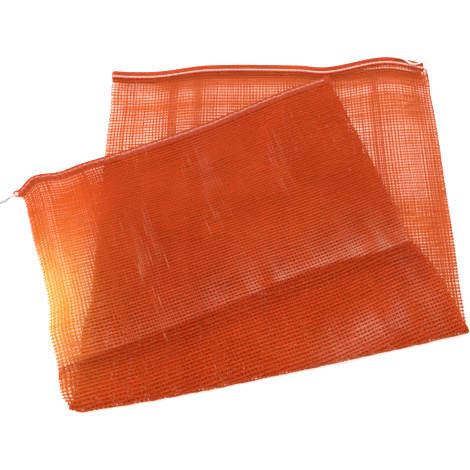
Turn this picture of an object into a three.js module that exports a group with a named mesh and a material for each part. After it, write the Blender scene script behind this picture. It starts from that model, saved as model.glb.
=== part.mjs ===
// A woven net produce bag, lying as it is stored: one flattened tube of orange net, folded once across,
// so that its stitched bottom end lies on top of its open mouth end and sticks out past it on the left.
// Millimetres, +Z up. +Y points at the mouth and +X at the corner where the drawstring comes out.
// The origin is on the surface that the bag lies on, under the middle of the bag without its loose ends.

import * as THREE from 'three';

// Bag
const bagWidth = 495;
const bagLength = 820;
const wall = 1;
const pieceGap = 0.3;

// Mouth half, which lies underneath, with its lower panel flat on the surface.
// leastSpread is the open height inside at the mouth, along the side edges and at the fold.
const leastSpread = 4.4;
const sideSoftness = 30;
const hemRiseStart = 60;
const hemRiseEnd = 24;

// Fold across the bag
const foldLeftLength = 494;
const foldAngle = THREE.MathUtils.degToRad(11.1);
const foldSoftness = 80;
const foldBow = 3;

// Folded half, which lies on top and hangs down to the surface past the left edge of the mouth half
const foldedSpread = 1.2;
const closedSpread = 0.7;
const restGap = 1;
const drapeStart = 10;
const drapeRun = 60;
const creaseFromBottom = 275;
const creaseHeight = 3;
const creaseNearWidth = 18;
const creaseFarWidth = 36;

// Hems
const mouthHemWidth = 17;
const mouthHemEnd = 0.99;
const mouthHemLip = 2;
const bottomHemWidth = 17;
const bottomHemTab = 8;
const bottomHemOverlap = 3;
const bottomHemLift = 0.7;
const bottomLiftStart = 45;
const bottomLiftEnd = 20;

// Cords
const cordDiameter = 2;
const cordDepth = 8;
const knotDiameter = 6;
const tailDiameter = 2.4;
const tubeSides = 8;

// How far the real ends lie from straight ones, as shares of bagLength, at shares of the width.
// upperMouth and lowerMouth are the two panels' mouth edges, and bottom is the closed end.
const endRise = [
  { across: 0.0, upperMouth: 0.0, lowerMouth: 0.0, bottom: -0.02 },
  { across: 0.05, upperMouth: -0.002, lowerMouth: -0.002, bottom: 0.0 },
  { across: 0.14, upperMouth: -0.001, lowerMouth: -0.003, bottom: -0.001 },
  { across: 0.3, upperMouth: 0.013, lowerMouth: 0.008, bottom: -0.007 },
  { across: 0.58, upperMouth: 0.013, lowerMouth: 0.009, bottom: -0.012 },
  { across: 0.68, upperMouth: 0.009, lowerMouth: 0.003, bottom: -0.01 },
  { across: 0.87, upperMouth: 0.032, lowerMouth: 0.014, bottom: -0.007 },
  { across: 1.0, upperMouth: 0.017, lowerMouth: 0.005, bottom: -0.011 },
];

// How far the folded half's side edges lie to the left of straight ones, as shares of bagWidth,
// at shares of the way from the fold to the bottom end.
const sideSway = [
  { along: 0.0, left: 0.0, right: 0.0 },
  { along: 0.2, left: 0.006, right: 0.004 },
  { along: 0.33, left: 0.009, right: 0.016 },
  { along: 0.5, left: 0.011, right: 0.011 },
  { along: 0.75, left: 0.006, right: 0.008 },
  { along: 0.93, left: 0.002, right: 0.004 },
  { along: 1.0, left: 0.01, right: 0.003 },
];

// Shares of the width where the panels have a column of points
const columns = [
  0, 0.03, 0.06, 0.12, 0.18, 0.24, 0.3, 0.37, 0.45,
  0.54, 0.63, 0.72, 0.8, 0.87, 0.94, mouthHemEnd, 1,
];

// Rows of points, as a share of the distance plus an offset in millimetres
const mouthHalfRows = [
  { share: 0, offset: hemRiseEnd },
  { share: 0, offset: (hemRiseStart + hemRiseEnd) / 2 },
  { share: 0, offset: hemRiseStart },
  { share: 0.3, offset: 0 },
  { share: 0.52, offset: 0 },
  { share: 1, offset: -foldSoftness },
  { share: 1, offset: -0.7 * foldSoftness },
  { share: 1, offset: -0.45 * foldSoftness },
  { share: 1, offset: -0.2 * foldSoftness },
];
const foldTurns = [-90, -60, -30, 0, 30, 60, 90].map(THREE.MathUtils.degToRad);
const beforeCreaseShares = [0.3, 0.65, 1];
const creaseRows = [-0.6 * creaseNearWidth, -0.25 * creaseNearWidth, 0, 0.3 * creaseFarWidth, creaseFarWidth];
const fromBottomRows = [195, 150, 100, 65, bottomLiftStart, bottomLiftEnd, 0];

// Values that follow from the sizes above. hemStack is from the tube's wall to the hem's flap.
const panelInset = leastSpread / 2 + wall;
const panelWidth = bagWidth - 2 * panelInset;
const hemStack = cordDiameter + 2 * pieceGap + wall;
const mouthTop = wall + hemStack + leastSpread;
const restHeight = mouthTop + wall;
const tubeRim = (hemStack + wall) / 2 + mouthHemLip + pieceGap;
const foldStack = 4 * wall + leastSpread + restGap + foldedSpread;
const foldArc = (Math.PI * foldStack) / 4;
const foldOutward = new THREE.Vector2(Math.sin(foldAngle), -Math.cos(foldAngle));
const foldedWay = new THREE.Vector2(-Math.sin(2 * foldAngle), Math.cos(2 * foldAngle));
const UP = new THREE.Vector3(0, 0, 1);
const quarter = Math.PI / 2;
const sideTurns = [quarter / 2, quarter, 1.5 * quarter];
const seamTurn = pieceGap / (leastSpread + wall);

// Eases from 0 at start to 1 at end
function ease(value, start, end) {
  return THREE.MathUtils.smoothstep(value, Math.min(start, end), Math.max(start, end));
}

// Reads one column of a table at a place along it, on a smooth curve through its rows
function readTable(table, key, column, at) {
  const last = table.length - 1;
  const found = table.findIndex((row) => row[key] >= at);
  const upper = found < 1 ? (found === 0 ? 1 : last) : found;
  const slope = (i) => {
    const a = table[Math.max(i - 1, 0)];
    const b = table[Math.min(i + 1, last)];
    return (b[column] - a[column]) / (b[key] - a[key]);
  };
  const low = table[upper - 1];
  const high = table[upper];
  const span = high[key] - low[key];
  const t = THREE.MathUtils.clamp((at - low[key]) / span, 0, 1);
  const rise = high[column] - low[column];
  const a = slope(upper - 1) * span - rise;
  const b = rise - slope(upper) * span;
  return low[column] + rise * t + t * (1 - t) * (a * (1 - t) + b * t);
}

// The two panels of the tube: the lower one lies on the surface, and is the outer one in the fold
const panels = {
  lower: { mouth: 'lowerMouth' },
  upper: { mouth: 'upperMouth' },
};

function mouthPoint(panel, across) {
  const rise = readTable(endRise, 'across', panels[panel].mouth, across) * bagLength;
  return new THREE.Vector2(panelInset + across * panelWidth, foldLeftLength + rise);
}

// The outer edge of the fold, seen from above
function foldEdge(across) {
  const x = panelInset + across * panelWidth;
  const bow = foldBow * Math.sin(Math.PI * across);
  return new THREE.Vector2(x, x * Math.tan(foldAngle)).addScaledVector(foldOutward, bow);
}

// The axis that the panels bend around
function foldAxis(across) {
  return foldEdge(across).addScaledVector(foldOutward, -foldStack / 2);
}

function distanceFromFold(point) {
  const edge = new THREE.Vector2(point.x, point.x * Math.tan(foldAngle));
  return edge.sub(point).dot(foldOutward);
}

// The top of the mouth half, which the folded half lies on; it runs out to the surface on the left
function supportHeight(point) {
  const height = restHeight - hemStack * (1 - ease(distanceFromFold(point), 0, foldSoftness));
  return height * (1 - ease(-point.x, drapeStart, drapeStart + drapeRun));
}

function foldedLength(across) {
  const rise = readTable(endRise, 'across', 'bottom', across) * bagLength;
  return bagLength - (foldLeftLength - foldAxis(across).y) - foldArc + rise;
}

function creaseLift(fromBottom) {
  const offset = creaseFromBottom - fromBottom;
  const width = offset < 0 ? creaseNearWidth : creaseFarWidth;
  return creaseHeight * (1 - ease(Math.abs(offset), 0, width));
}

// A row of the mouth half, by its distance from the mouth edge
function mouthHalfRow(row) {
  const place = (panel, across) => {
    const start = mouthPoint(panel, across);
    const end = foldAxis(across);
    const length = start.distanceTo(end);
    const along = row.share * length + row.offset;
    const point = start.lerp(end, along / length);
    const rise = hemStack * (1 - ease(along, hemRiseEnd, hemRiseStart));
    const low = wall / 2 + rise;
    if (panel === 'lower') {
      return new THREE.Vector3(point.x, point.y, low);
    }
    const drop = hemStack * (1 - ease(distanceFromFold(point), 0, foldSoftness));
    const full = mouthTop + wall / 2 - drop - low;
    const fromSide = Math.min(across, 1 - across) * panelWidth;
    const spread = THREE.MathUtils.lerp(leastSpread + wall, full, ease(fromSide, 0, sideSoftness));
    return new THREE.Vector3(point.x, point.y, low + spread);
  };
  return { place, heading: 0, facing: new THREE.Vector3(0, 0, -1) };
}

// A point of the folded half seen from above
function foldedPoint(across, fromBottom) {
  const length = foldedLength(across);
  const along = length - fromBottom;
  const sway = THREE.MathUtils.lerp(
    readTable(sideSway, 'along', 'left', along / length),
    readTable(sideSway, 'along', 'right', along / length),
    across,
  );
  const point = foldAxis(across).addScaledVector(foldedWay, along);
  point.x -= sway * bagWidth;
  return point;
}

// A row of the folded half, by a function that gives its distance from the bottom end.
// The stiff bottom hem lies at one height across its width.
function foldedRow(fromBottomAt) {
  const place = (panel, across) => {
    const fromBottom = fromBottomAt(across, foldedLength(across));
    const point = foldedPoint(across, fromBottom);
    const support = supportHeight(foldedPoint(across, Math.max(fromBottom, bottomLiftEnd)));
    const closing = 1 - ease(fromBottom, bottomLiftEnd, bottomLiftStart);
    const under = support + restGap + bottomHemLift * closing + creaseLift(fromBottom);
    const spread = THREE.MathUtils.lerp(foldedSpread, closedSpread, closing);
    const height = under + wall / 2 + (panel === 'lower' ? spread + wall : 0);
    return new THREE.Vector3(point.x, point.y, height);
  };
  return { place, heading: 2 * foldAngle, facing: UP };
}

const atFoldBefore = mouthHalfRow({ share: 1, offset: 0 });
const atFoldAfter = foldedRow((across, length) => length);

// A row around the fold, between the last row of one half and the first of the other
function foldRow(turn) {
  const facing = new THREE.Vector3(
    foldOutward.x * Math.cos(turn),
    foldOutward.y * Math.cos(turn),
    Math.sin(turn),
  );
  const place = (panel, across) => {
    const before = atFoldBefore.place(panel, across);
    const after = atFoldAfter.place(panel, across);
    const radius = (after.z - before.z) / 2;
    return before.add(after).multiplyScalar(0.5).addScaledVector(facing, radius);
  };
  return { place, heading: foldAngle * (1 + turn / (Math.PI / 2)), facing };
}

function sideways(row, across) {
  const side = across > 0.5 ? 1 : -1;
  return new THREE.Vector3(side * Math.cos(row.heading), side * Math.sin(row.heading), 0);
}

// The points around the tube: across the lower panel, round the right edge, back across the upper one
const ring = [
  ...columns.map((across) => ({ across, turn: 0 })),
  ...sideTurns.map((turn) => ({ across: 1, turn })),
  ...columns.toReversed().map((across) => ({ across, turn: Math.PI })),
  ...sideTurns.toReversed().map((turn) => ({ across: 0, turn })),
];

// The lower and upper halves of the ring, which meet at the middle of each side edge
const lowerTurns = [quarter / 2, quarter - seamTurn];
const upperTurns = [quarter + seamTurn, 1.5 * quarter];
const lowerRing = [
  ...lowerTurns.toReversed().map((turn) => ({ across: 0, turn })),
  ...columns.map((across) => ({ across, turn: 0 })),
  ...lowerTurns.map((turn) => ({ across: 1, turn })),
];
const upperRing = [
  ...upperTurns.map((turn) => ({ across: 1, turn })),
  ...columns.toReversed().map((across) => ({ across, turn: Math.PI })),
  ...upperTurns.toReversed().map((turn) => ({ across: 0, turn })),
];

// A point on the tube's wall, offset outwards from the middle of the wall
function wallPoint(row, { across, turn }, outwards) {
  const lower = row.place('lower', across);
  const upper = row.place('upper', across);
  const half = upper.clone().sub(lower).multiplyScalar(0.5);
  const radius = Math.abs(half.dot(row.facing));
  const side = sideways(row, across);
  const outward = row.facing.clone().multiplyScalar(Math.cos(turn)).addScaledVector(side, Math.sin(turn));
  return lower
    .add(upper)
    .multiplyScalar(0.5)
    .addScaledVector(half, -Math.cos(turn))
    .addScaledVector(side, radius * Math.sin(turn))
    .addScaledVector(outward, outwards);
}

// Collects points and triangles, and makes a closed mesh of them with its faces pointing out
class Surface {
  constructor() {
    this.points = [];
    this.triangles = [];
  }

  addPoints(points) {
    const first = this.points.length;
    this.points.push(...points);
    return points.map((_, i) => first + i);
  }

  addQuad(a, b, c, d) {
    this.triangles.push([a, b, c], [a, c, d]);
  }

  // Joins two loops of points
  addBand(from, to, closed = true) {
    const count = closed ? from.length : from.length - 1;
    for (let i = 0; i < count; i += 1) {
      const next = (i + 1) % from.length;
      this.addQuad(from[i], from[next], to[next], to[i]);
    }
  }

  // Fills a flat loop
  addCap(loop, flat, flipped) {
    const faces = THREE.ShapeUtils.triangulateShape(flat, []);
    for (const [a, b, c] of faces) {
      this.triangles.push(flipped ? [loop[c], loop[b], loop[a]] : [loop[a], loop[b], loop[c]]);
    }
  }

  toGeometry() {
    let volume = 0;
    for (const [a, b, c] of this.triangles) {
      const cross = this.points[b].clone().cross(this.points[c]);
      volume += this.points[a].dot(cross);
    }
    const order = volume > 0 ? this.triangles : this.triangles.map(([a, b, c]) => [c, b, a]);
    const geometry = new THREE.BufferGeometry();
    geometry.setFromPoints(this.points);
    geometry.setIndex(order.flat());
    geometry.computeVertexNormals();
    return geometry;
  }
}

// The outline of a strip of even thickness along a flat line of points
function stripOutline(line) {
  const side = (sign) =>
    line.map((point, i) => {
      const before = line[Math.max(i - 1, 0)];
      const after = line[Math.min(i + 1, line.length - 1)];
      const into = point.clone().sub(before).normalize();
      const outOf = after.clone().sub(point).normalize();
      const way = into.clone().add(outOf).normalize();
      const stretch = 1 / Math.max(way.dot(i > 0 ? into : outOf), 0.5);
      return new THREE.Vector2(-way.y, way.x).multiplyScalar((sign * stretch * wall) / 2).add(point);
    });
  return [...side(1), ...side(-1).reverse()];
}

// Sweeps one flat outline through a list of stations; placeAt(station, outlinePoint) gives each point
function sweep(outline, stations, placeAt) {
  const surface = new Surface();
  const loops = stations.map((station) => surface.addPoints(outline.map((point) => placeAt(station, point))));
  for (let i = 1; i < loops.length; i += 1) {
    surface.addBand(loops[i - 1], loops[i]);
  }
  const clockwise = THREE.ShapeUtils.isClockWise(outline);
  surface.addCap(loops[0], outline, !clockwise);
  surface.addCap(loops.at(-1), outline, clockwise);
  return surface.toGeometry();
}

// A tube through chosen points; its rings stand at those points, or evenly between them
class ChosenPath extends THREE.Curve {
  constructor(points) {
    super();
    this.points = points;
  }

  getPoint(t) {
    const at = t * (this.points.length - 1);
    const low = Math.min(Math.floor(at), this.points.length - 2);
    return this.points[low].clone().lerp(this.points[low + 1], at - low);
  }

  getPointAt(t) {
    return this.getPoint(t);
  }

  getTangentAt(t) {
    const step = 0.5 / (this.points.length - 1);
    const before = this.getPoint(Math.max(t - step, 0));
    return this.getPoint(Math.min(t + step, 1)).sub(before).normalize();
  }
}

function tube(points, diameter) {
  const section = new THREE.Shape();
  for (let i = 0; i < tubeSides; i += 1) {
    const angle = (2 * Math.PI * i) / tubeSides;
    const x = (diameter / 2) * Math.cos(angle);
    const y = (diameter / 2) * Math.sin(angle);
    if (i === 0) {
      section.moveTo(x, y);
    } else {
      section.lineTo(x, y);
    }
  }
  section.closePath();
  return new THREE.ExtrudeGeometry(section, {
    steps: points.length - 1,
    extrudePath: new ChosenPath(points),
  });
}

// A piece of the net: rows of points round the whole ring or part of it, with a wall between two skins.
// rowsAt gives the rows for a skin by how far it stays in from a closed end.
function netPiece(rowsAt, places, { wholeRing = false, closedEnd = false } = {}) {
  const surface = new Surface();
  const skin = (outwards, endInset) =>
    rowsAt(endInset).map((row) => surface.addPoints(places.map((place) => wallPoint(row, place, outwards))));
  const outer = skin(wall / 2, 0);
  const inner = skin(-wall / 2, wall);
  const turnedInner = inner.map((loop) => loop.toReversed());
  for (const loops of [outer, turnedInner]) {
    for (let i = 1; i < loops.length; i += 1) {
      surface.addBand(loops[i - 1], loops[i], wholeRing);
    }
  }
  surface.addBand(inner[0], outer[0], wholeRing);
  if (closedEnd) {
    closeEnd(surface, outer.at(-1), false);
    closeEnd(surface, turnedInner.at(-1), true);
  } else {
    surface.addBand(outer.at(-1), inner.at(-1), wholeRing);
  }
  if (!wholeRing) {
    const last = places.length - 1;
    for (let i = 1; i < outer.length; i += 1) {
      surface.addQuad(outer[i - 1][0], outer[i][0], inner[i][0], inner[i - 1][0]);
      surface.addQuad(outer[i][last], outer[i - 1][last], inner[i - 1][last], inner[i][last]);
    }
  }
  return surface.toGeometry();
}

// The half with the mouth, up to the fold
function mouthHalf(places) {
  const rows = [
    { share: 0, offset: tubeRim },
    ...mouthHalfRows,
    { share: 1, offset: -pieceGap },
  ].map(mouthHalfRow);
  return netPiece(() => rows, places);
}

function fold() {
  const rows = foldTurns.map(foldRow);
  return netPiece(() => rows, ring, { wholeRing: true });
}

// The half that lies on top, from the fold to its closed bottom end
function foldedHalf() {
  const creaseStart = creaseFromBottom + creaseNearWidth;
  const rowsAt = (endInset) => [
    foldedRow((across, length) => length - pieceGap),
    ...beforeCreaseShares.map((share) =>
      foldedRow((across, length) => THREE.MathUtils.lerp(length, creaseStart, share)),
    ),
    ...creaseRows.map((offset) => foldedRow(() => creaseFromBottom - offset)),
    ...fromBottomRows.map((distance) => foldedRow(() => Math.max(distance, endInset))),
  ];
  return netPiece(rowsAt, ring, { wholeRing: true, closedEnd: true });
}

// Closes the flattened bottom end of a loop, from its lower panel to its upper one
function closeEnd(surface, loop, reversed) {
  const order = reversed ? loop.toReversed() : loop;
  const count = columns.length;
  const sides = sideTurns.length;
  const lower = order.slice(0, count);
  const upper = order.slice(count + sides, 2 * count + sides).toReversed();
  const right = [lower.at(-1), ...order.slice(count, count + sides), upper.at(-1)];
  const left = [upper[0], ...order.slice(2 * count + sides), lower[0]];
  const add = (a, b, c) => surface.triangles.push(reversed ? [c, b, a] : [a, b, c]);
  for (let i = 1; i < count; i += 1) {
    add(lower[i - 1], lower[i], upper[i]);
    add(lower[i - 1], upper[i], upper[i - 1]);
  }
  for (const edge of [right, left]) {
    for (let i = 2; i < edge.length; i += 1) {
      add(edge[0], edge[i - 1], edge[i]);
    }
  }
}

// The parts of the ring that the mouth hem follows: all but the right edge. The drawstring runs from
// the upper panel's end at the right corner round the left edge to the lower panel's end.
const upperHemRing = upperRing.filter(({ across }) => across <= mouthHemEnd);
const lowerHemRing = lowerRing.filter(({ across }) => across <= mouthHemEnd);
const cordRing = [...upperHemRing, ...lowerHemRing];

// A place by the mouth: how far below the mouth edge, and how far out from the middle of the wall
function mouthPlace(place, below, outwards) {
  return wallPoint(mouthHalfRow({ share: 0, offset: below }), place, outwards);
}

// The turned-over mouth edge: it carries on from the tube's rim, turns outwards over the
// drawstring, and comes back to the tube below it
function mouthHem(places) {
  const bend = hemStack / 2;
  const turnCentre = bend + wall / 2;
  const line = [new THREE.Vector2(tubeRim - pieceGap, 0)];
  for (let angle = 0; angle <= 180; angle += 45) {
    const turn = THREE.MathUtils.degToRad(angle);
    line.push(new THREE.Vector2(turnCentre - bend * Math.sin(turn), bend - bend * Math.cos(turn)));
  }
  line.push(new THREE.Vector2(cordDepth + cordDiameter + wall, hemStack));
  line.push(new THREE.Vector2(mouthHemWidth - wall, wall + 2 * pieceGap));
  line.push(new THREE.Vector2(mouthHemWidth, wall + 2 * pieceGap));
  return sweep(stripOutline(line), places, (place, point) => mouthPlace(place, point.x, point.y));
}

// The bottom hem: a folded band over the tube's closed end, sewn through; its left end sticks out
function bottomHem() {
  const height = (closedSpread + wall) / 2 + wall + pieceGap;
  const line = [
    new THREE.Vector2(bottomHemWidth, height),
    new THREE.Vector2(bottomHemWidth / 2, height),
    new THREE.Vector2(-pieceGap - wall / 2, height),
    new THREE.Vector2(-pieceGap - wall / 2, -height),
    new THREE.Vector2(bottomHemWidth / 2, -height),
    new THREE.Vector2(bottomHemWidth, -height),
  ];
  const stations = [
    { across: 0, past: -bottomHemTab },
    ...columns.map((across) => ({ across, past: 0 })),
    { across: 1, past: bottomHemOverlap },
  ];
  return sweep(stripOutline(line), stations, ({ across, past }, point) => {
    const row = foldedRow(() => Math.max(point.x, 0));
    const middle = row.place('lower', across).add(row.place('upper', across)).multiplyScalar(0.5);
    middle.x += past * Math.cos(row.heading) - Math.min(point.x, 0) * foldedWay.x;
    middle.y += past * Math.sin(row.heading) - Math.min(point.x, 0) * foldedWay.y;
    middle.z += point.y;
    return middle;
  });
}

// The drawstring's run inside the mouth hem, from one end of the hem round to the other
const cordOut = wall / 2 + pieceGap + cordDiameter / 2;
const cordRun = cordRing.map((place) => mouthPlace(place, cordDepth, cordOut));

// The drawstring's free end, chosen by hand: out of the hem's end at the right corner, back over
// the hem in a small loop, and along it to the knot. Places count from where it leaves the hem.
const cordExit = cordRun[0];
const onHem = hemStack + wall / 2 + pieceGap + cordDiameter / 2 - cordOut;
const cordEndRoute = [
  [pieceGap, 0, 0],
  [4, 0, 0],
  [7, 1.5, 0.3],
  [8.6, 4.5, 1.2],
  [8, 8, 2.4],
  [4.5, 10.3, onHem],
  [0, 9.4, onHem],
  [-5, 6.6, onHem],
  [-10, 4.6, onHem],
  [-15, 4, onHem],
  [-20, 5.2, onHem],
  [-24.5, 8.6, onHem],
  [-28.5, 12.4, onHem],
  [-33, 14.8, onHem],
  [-38, 15.6, onHem],
].map(([x, y, z]) => new THREE.Vector3(x, y, z).add(cordExit));

function smoothRoute(points, steps) {
  return new THREE.CatmullRomCurve3(points, false, 'centripetal').getSpacedPoints(steps);
}

function endKnot() {
  const end = cordEndRoute.at(-1);
  const before = cordEndRoute.at(-2);
  const way = end.clone().sub(before).normalize();
  const reach = knotDiameter / 2 + pieceGap;
  const centre = end.clone().addScaledVector(way, reach);
  centre.z += (knotDiameter - cordDiameter) / 2;
  const geometry = new THREE.IcosahedronGeometry(knotDiameter / 2, 1);
  return geometry.translate(centre.x, centre.y, centre.z);
}

// The end of the bottom seam's thread, chosen by hand: off the hem's left end and down to the
// surface. Places count from the middle of the hem's end, and z from the surface.
function threadTail() {
  const row = foldedRow(() => bottomHemWidth / 2);
  const start = row.place('lower', 0).add(row.place('upper', 0)).multiplyScalar(0.5);
  const out = bottomHemTab + pieceGap;
  start.x -= out * Math.cos(row.heading);
  start.y -= out * Math.sin(row.heading);
  const lying = tailDiameter / 2 + pieceGap / 3;
  const points = [
    [0, 0, start.z],
    [-4, -1, start.z],
    [-9, -3, (start.z + lying) / 2],
    [-14, -6.5, lying],
    [-19, -9, lying],
    [-25, -9.6, lying],
    [-31, -8.6, lying],
    [-37, -8, lying],
  ].map(([x, y, z]) => new THREE.Vector3(start.x + x, start.y + y, z));
  return tube(smoothRoute(points, 10), tailDiameter);
}

const netFinish = { color: 0xd4491c, roughness: 0.4, metalness: 0 };
const hemFinish = { color: 0xc23a18, roughness: 0.45, metalness: 0 };
const cordFinish = { color: 0xece6dc, roughness: 0.75, metalness: 0 };

function named(name, geometry, finish) {
  const mesh = new THREE.Mesh(geometry, new THREE.MeshStandardMaterial(finish));
  mesh.name = name;
  return mesh;
}

const held = new THREE.Group();
held.add(named('net_lower', mouthHalf(lowerRing), netFinish));
held.add(named('net_upper', mouthHalf(upperRing), netFinish));
held.add(named('net_fold', fold(), netFinish));
held.add(named('net_folded_half', foldedHalf(), netFinish));
held.add(named('mouth_hem_lower', mouthHem(lowerHemRing), hemFinish));
held.add(named('mouth_hem_upper', mouthHem(upperHemRing), hemFinish));
held.add(named('bottom_hem', bottomHem(), hemFinish));
held.add(named('drawstring_run', tube(cordRun, cordDiameter), cordFinish));

const loose = new THREE.Group();
loose.add(named('drawstring_end', tube(smoothRoute(cordEndRoute, 26), cordDiameter), cordFinish));
loose.add(named('drawstring_knot', endKnot(), cordFinish));
loose.add(named('thread_tail', threadTail(), cordFinish));

const bounds = new THREE.Box3().setFromObject(held);
const centre = bounds.getCenter(new THREE.Vector3());
const bag = new THREE.Group();
bag.add(held, loose);
bag.position.set(-centre.x, -centre.y, -bounds.min.z);
bag.updateMatrixWorld(true);

export default bag;
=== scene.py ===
"""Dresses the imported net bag: each tape of its woven net, its hems, seam, drawstring and loose thread.

Lengths are in millimetres in the source's own frame, from the left end of the fold, and become metres in
the part's frame when a mesh is made. The bag's shape follows the formulas of the part's source.
"""

import math

import bpy
import numpy as np
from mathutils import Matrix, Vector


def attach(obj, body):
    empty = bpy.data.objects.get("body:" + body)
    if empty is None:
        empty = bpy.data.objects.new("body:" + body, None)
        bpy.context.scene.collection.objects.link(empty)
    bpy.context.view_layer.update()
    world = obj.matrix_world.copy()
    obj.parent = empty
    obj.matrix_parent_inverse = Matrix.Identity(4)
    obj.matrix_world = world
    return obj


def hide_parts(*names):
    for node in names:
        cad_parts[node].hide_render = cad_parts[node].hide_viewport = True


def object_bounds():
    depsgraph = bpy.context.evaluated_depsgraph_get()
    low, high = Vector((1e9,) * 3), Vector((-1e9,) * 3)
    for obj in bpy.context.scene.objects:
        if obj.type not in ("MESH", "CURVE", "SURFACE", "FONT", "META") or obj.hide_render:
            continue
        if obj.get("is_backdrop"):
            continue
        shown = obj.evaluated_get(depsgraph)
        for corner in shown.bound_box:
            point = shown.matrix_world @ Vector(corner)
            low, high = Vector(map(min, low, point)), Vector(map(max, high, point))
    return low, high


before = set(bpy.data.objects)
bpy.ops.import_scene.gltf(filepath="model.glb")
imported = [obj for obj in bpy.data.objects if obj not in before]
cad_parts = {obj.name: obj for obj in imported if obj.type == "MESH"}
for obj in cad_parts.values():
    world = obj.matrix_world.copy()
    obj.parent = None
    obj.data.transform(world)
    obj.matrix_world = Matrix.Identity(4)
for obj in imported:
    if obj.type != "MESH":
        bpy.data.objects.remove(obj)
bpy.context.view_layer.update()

# From the source's frame to the part's frame
ORIGIN = np.array([-184.1418, -260.4194, 0.0])

# Sizes of the part's source
BAG_WIDTH = 495.0
BAG_LENGTH = 820.0
WALL = 1.0
PIECE_GAP = 0.3
LEAST_SPREAD = 4.4
SIDE_SOFTNESS = 30.0
HEM_RISE_START = 60.0
HEM_RISE_END = 24.0
FOLD_LEFT_LENGTH = 494.0
FOLD_ANGLE = math.radians(11.1)
FOLD_SOFTNESS = 80.0
FOLD_BOW = 3.0
FOLDED_SPREAD = 1.2
CLOSED_SPREAD = 0.7
REST_GAP = 1.0
DRAPE_START = 10.0
DRAPE_RUN = 60.0
CREASE_FAR = 36.0
MOUTH_HEM_END = 0.99
MOUTH_HEM_LIP = 2.0
BOTTOM_HEM_WIDTH = 17.0
BOTTOM_HEM_TAB = 8.0
BOTTOM_HEM_OVERLAP = 3.0
BOTTOM_HEM_LIFT = 0.7
BOTTOM_LIFT_START = 45.0
BOTTOM_LIFT_END = 20.0
CORD_DIAMETER = 2.0
KNOT_DIAMETER = 6.0
TAIL_DIAMETER = 2.4

# Sizes that lie closer to the photograph here than in the plainer solids. The crease runs straight to
# CREASE_BEND, a share of the width, and then nearer to the fold, and a kink draws its right end inwards.
CREASE_FROM_BOTTOM = 272.0
CREASE_RIGHT_RISE = 24.0
CREASE_BEND = 0.65
CREASE_HEIGHT = 4.4
CREASE_NEAR = 11.0
KINK = 8.0
KINK_START = 0.75
KINK_FROM_BOTTOM = CREASE_FROM_BOTTOM + 8
KINK_HALF = 16.0
MOUTH_HEM_WIDTH = 14.0
CORD_DEPTH = 9.0

PANEL_INSET = LEAST_SPREAD / 2 + WALL
PANEL_WIDTH = BAG_WIDTH - 2 * PANEL_INSET
HEM_STACK = CORD_DIAMETER + 2 * PIECE_GAP + WALL
MOUTH_TOP = WALL + HEM_STACK + LEAST_SPREAD
REST_HEIGHT = MOUTH_TOP + WALL
TUBE_RIM = (HEM_STACK + WALL) / 2 + MOUTH_HEM_LIP + PIECE_GAP
FOLD_STACK = 4 * WALL + LEAST_SPREAD + REST_GAP + FOLDED_SPREAD
FOLD_ARC = math.pi * FOLD_STACK / 4
FOLD_OUT = np.array([math.sin(FOLD_ANGLE), -math.cos(FOLD_ANGLE)])
FOLDED_WAY = np.array([-math.sin(2 * FOLD_ANGLE), math.cos(2 * FOLD_ANGLE)])

# How far the ends lie from straight ones, in shares of the bag's length, at shares of its width
END_SHARES = [0.0, 0.05, 0.14, 0.3, 0.58, 0.68, 0.87, 1.0]
UPPER_MOUTH = [0.0, -0.002, -0.001, 0.013, 0.013, 0.009, 0.032, 0.017]
LOWER_MOUTH = [0.0, -0.002, -0.003, 0.008, 0.009, 0.003, 0.014, 0.005]
BOTTOM_END = [-0.013, 0.005, -0.005, -0.0095, -0.012, -0.01, -0.007, -0.011]

# How far the folded half's sides lie to the left, in shares of the bag's width, on the way to its end
SWAY_SHARES = [0.0, 0.05, 0.2, 0.33, 0.5, 0.75, 0.93, 1.0]
LEFT_SWAY = [0.0, 0.0085, 0.007, 0.009, 0.005, 0.003, 0.0, 0.009]
RIGHT_SWAY = [0.0, 0.001, 0.004, 0.016, 0.011, 0.008, 0.004, 0.003]

# How far the sides stand out, by the distance from the fold on the left and from the mouth on both sides,
# and the share of the width that is drawn out with them
LEFT_FROM_FOLD = [0.0, 20.0, 35.0, 50.0, 65.0, 80.0, 100.0, 120.0, 140.0]
LEFT_BULGE = [12.0, 12.0, 9.5, 5.5, 5.5, 6.0, 6.5, 3.5, 0.0]
FROM_MOUTH = [0.0, 30.0, 70.0, 110.0, 190.0, 270.0, 330.0]
MOUTH_RIGHT_BULGE = [0.0, 2.0, 3.5, 4.0, 2.5, 2.0, 0.0]
MOUTH_LEFT_BULGE = [0.0, 2.5, 1.5, 2.5, 2.0, 0.0, 0.0]
BULGE_SHARE = 0.2
# How far the fold's left corner is rounded off, over what share of the width and distances from the fold
CORNER_ROUND = 4.5
CORNER_SHARE = 0.025
CORNER_RUN = (5, 35)

# Where the loose net sinks over the bag's hollow: the distances from the sides, the fold and the mouth over
# which that begins, its even depth, how much two fields change it, and the height that it leaves inside
SAG_FROM_SIDE = (15, 80)
SAG_FROM_FOLD = (25, 110)
SAG_FROM_MOUTH = (45, 120)
SAG_DEPTH = 1.6
SAG_CHANGE = 1.4
SAG_RIPPLE = 0.5
SAG_CLEAR = 1.5

# How high the folded half's two panels ripple once they are this far from the fold
LOOSE_FROM_FOLD = 30.0
RIPPLE_HEIGHT = 0.5
SKIN_HEIGHT = 0.6
# How far apart one field is read for two things that shouldn't move alike
FIELD_APART = 300

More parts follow.
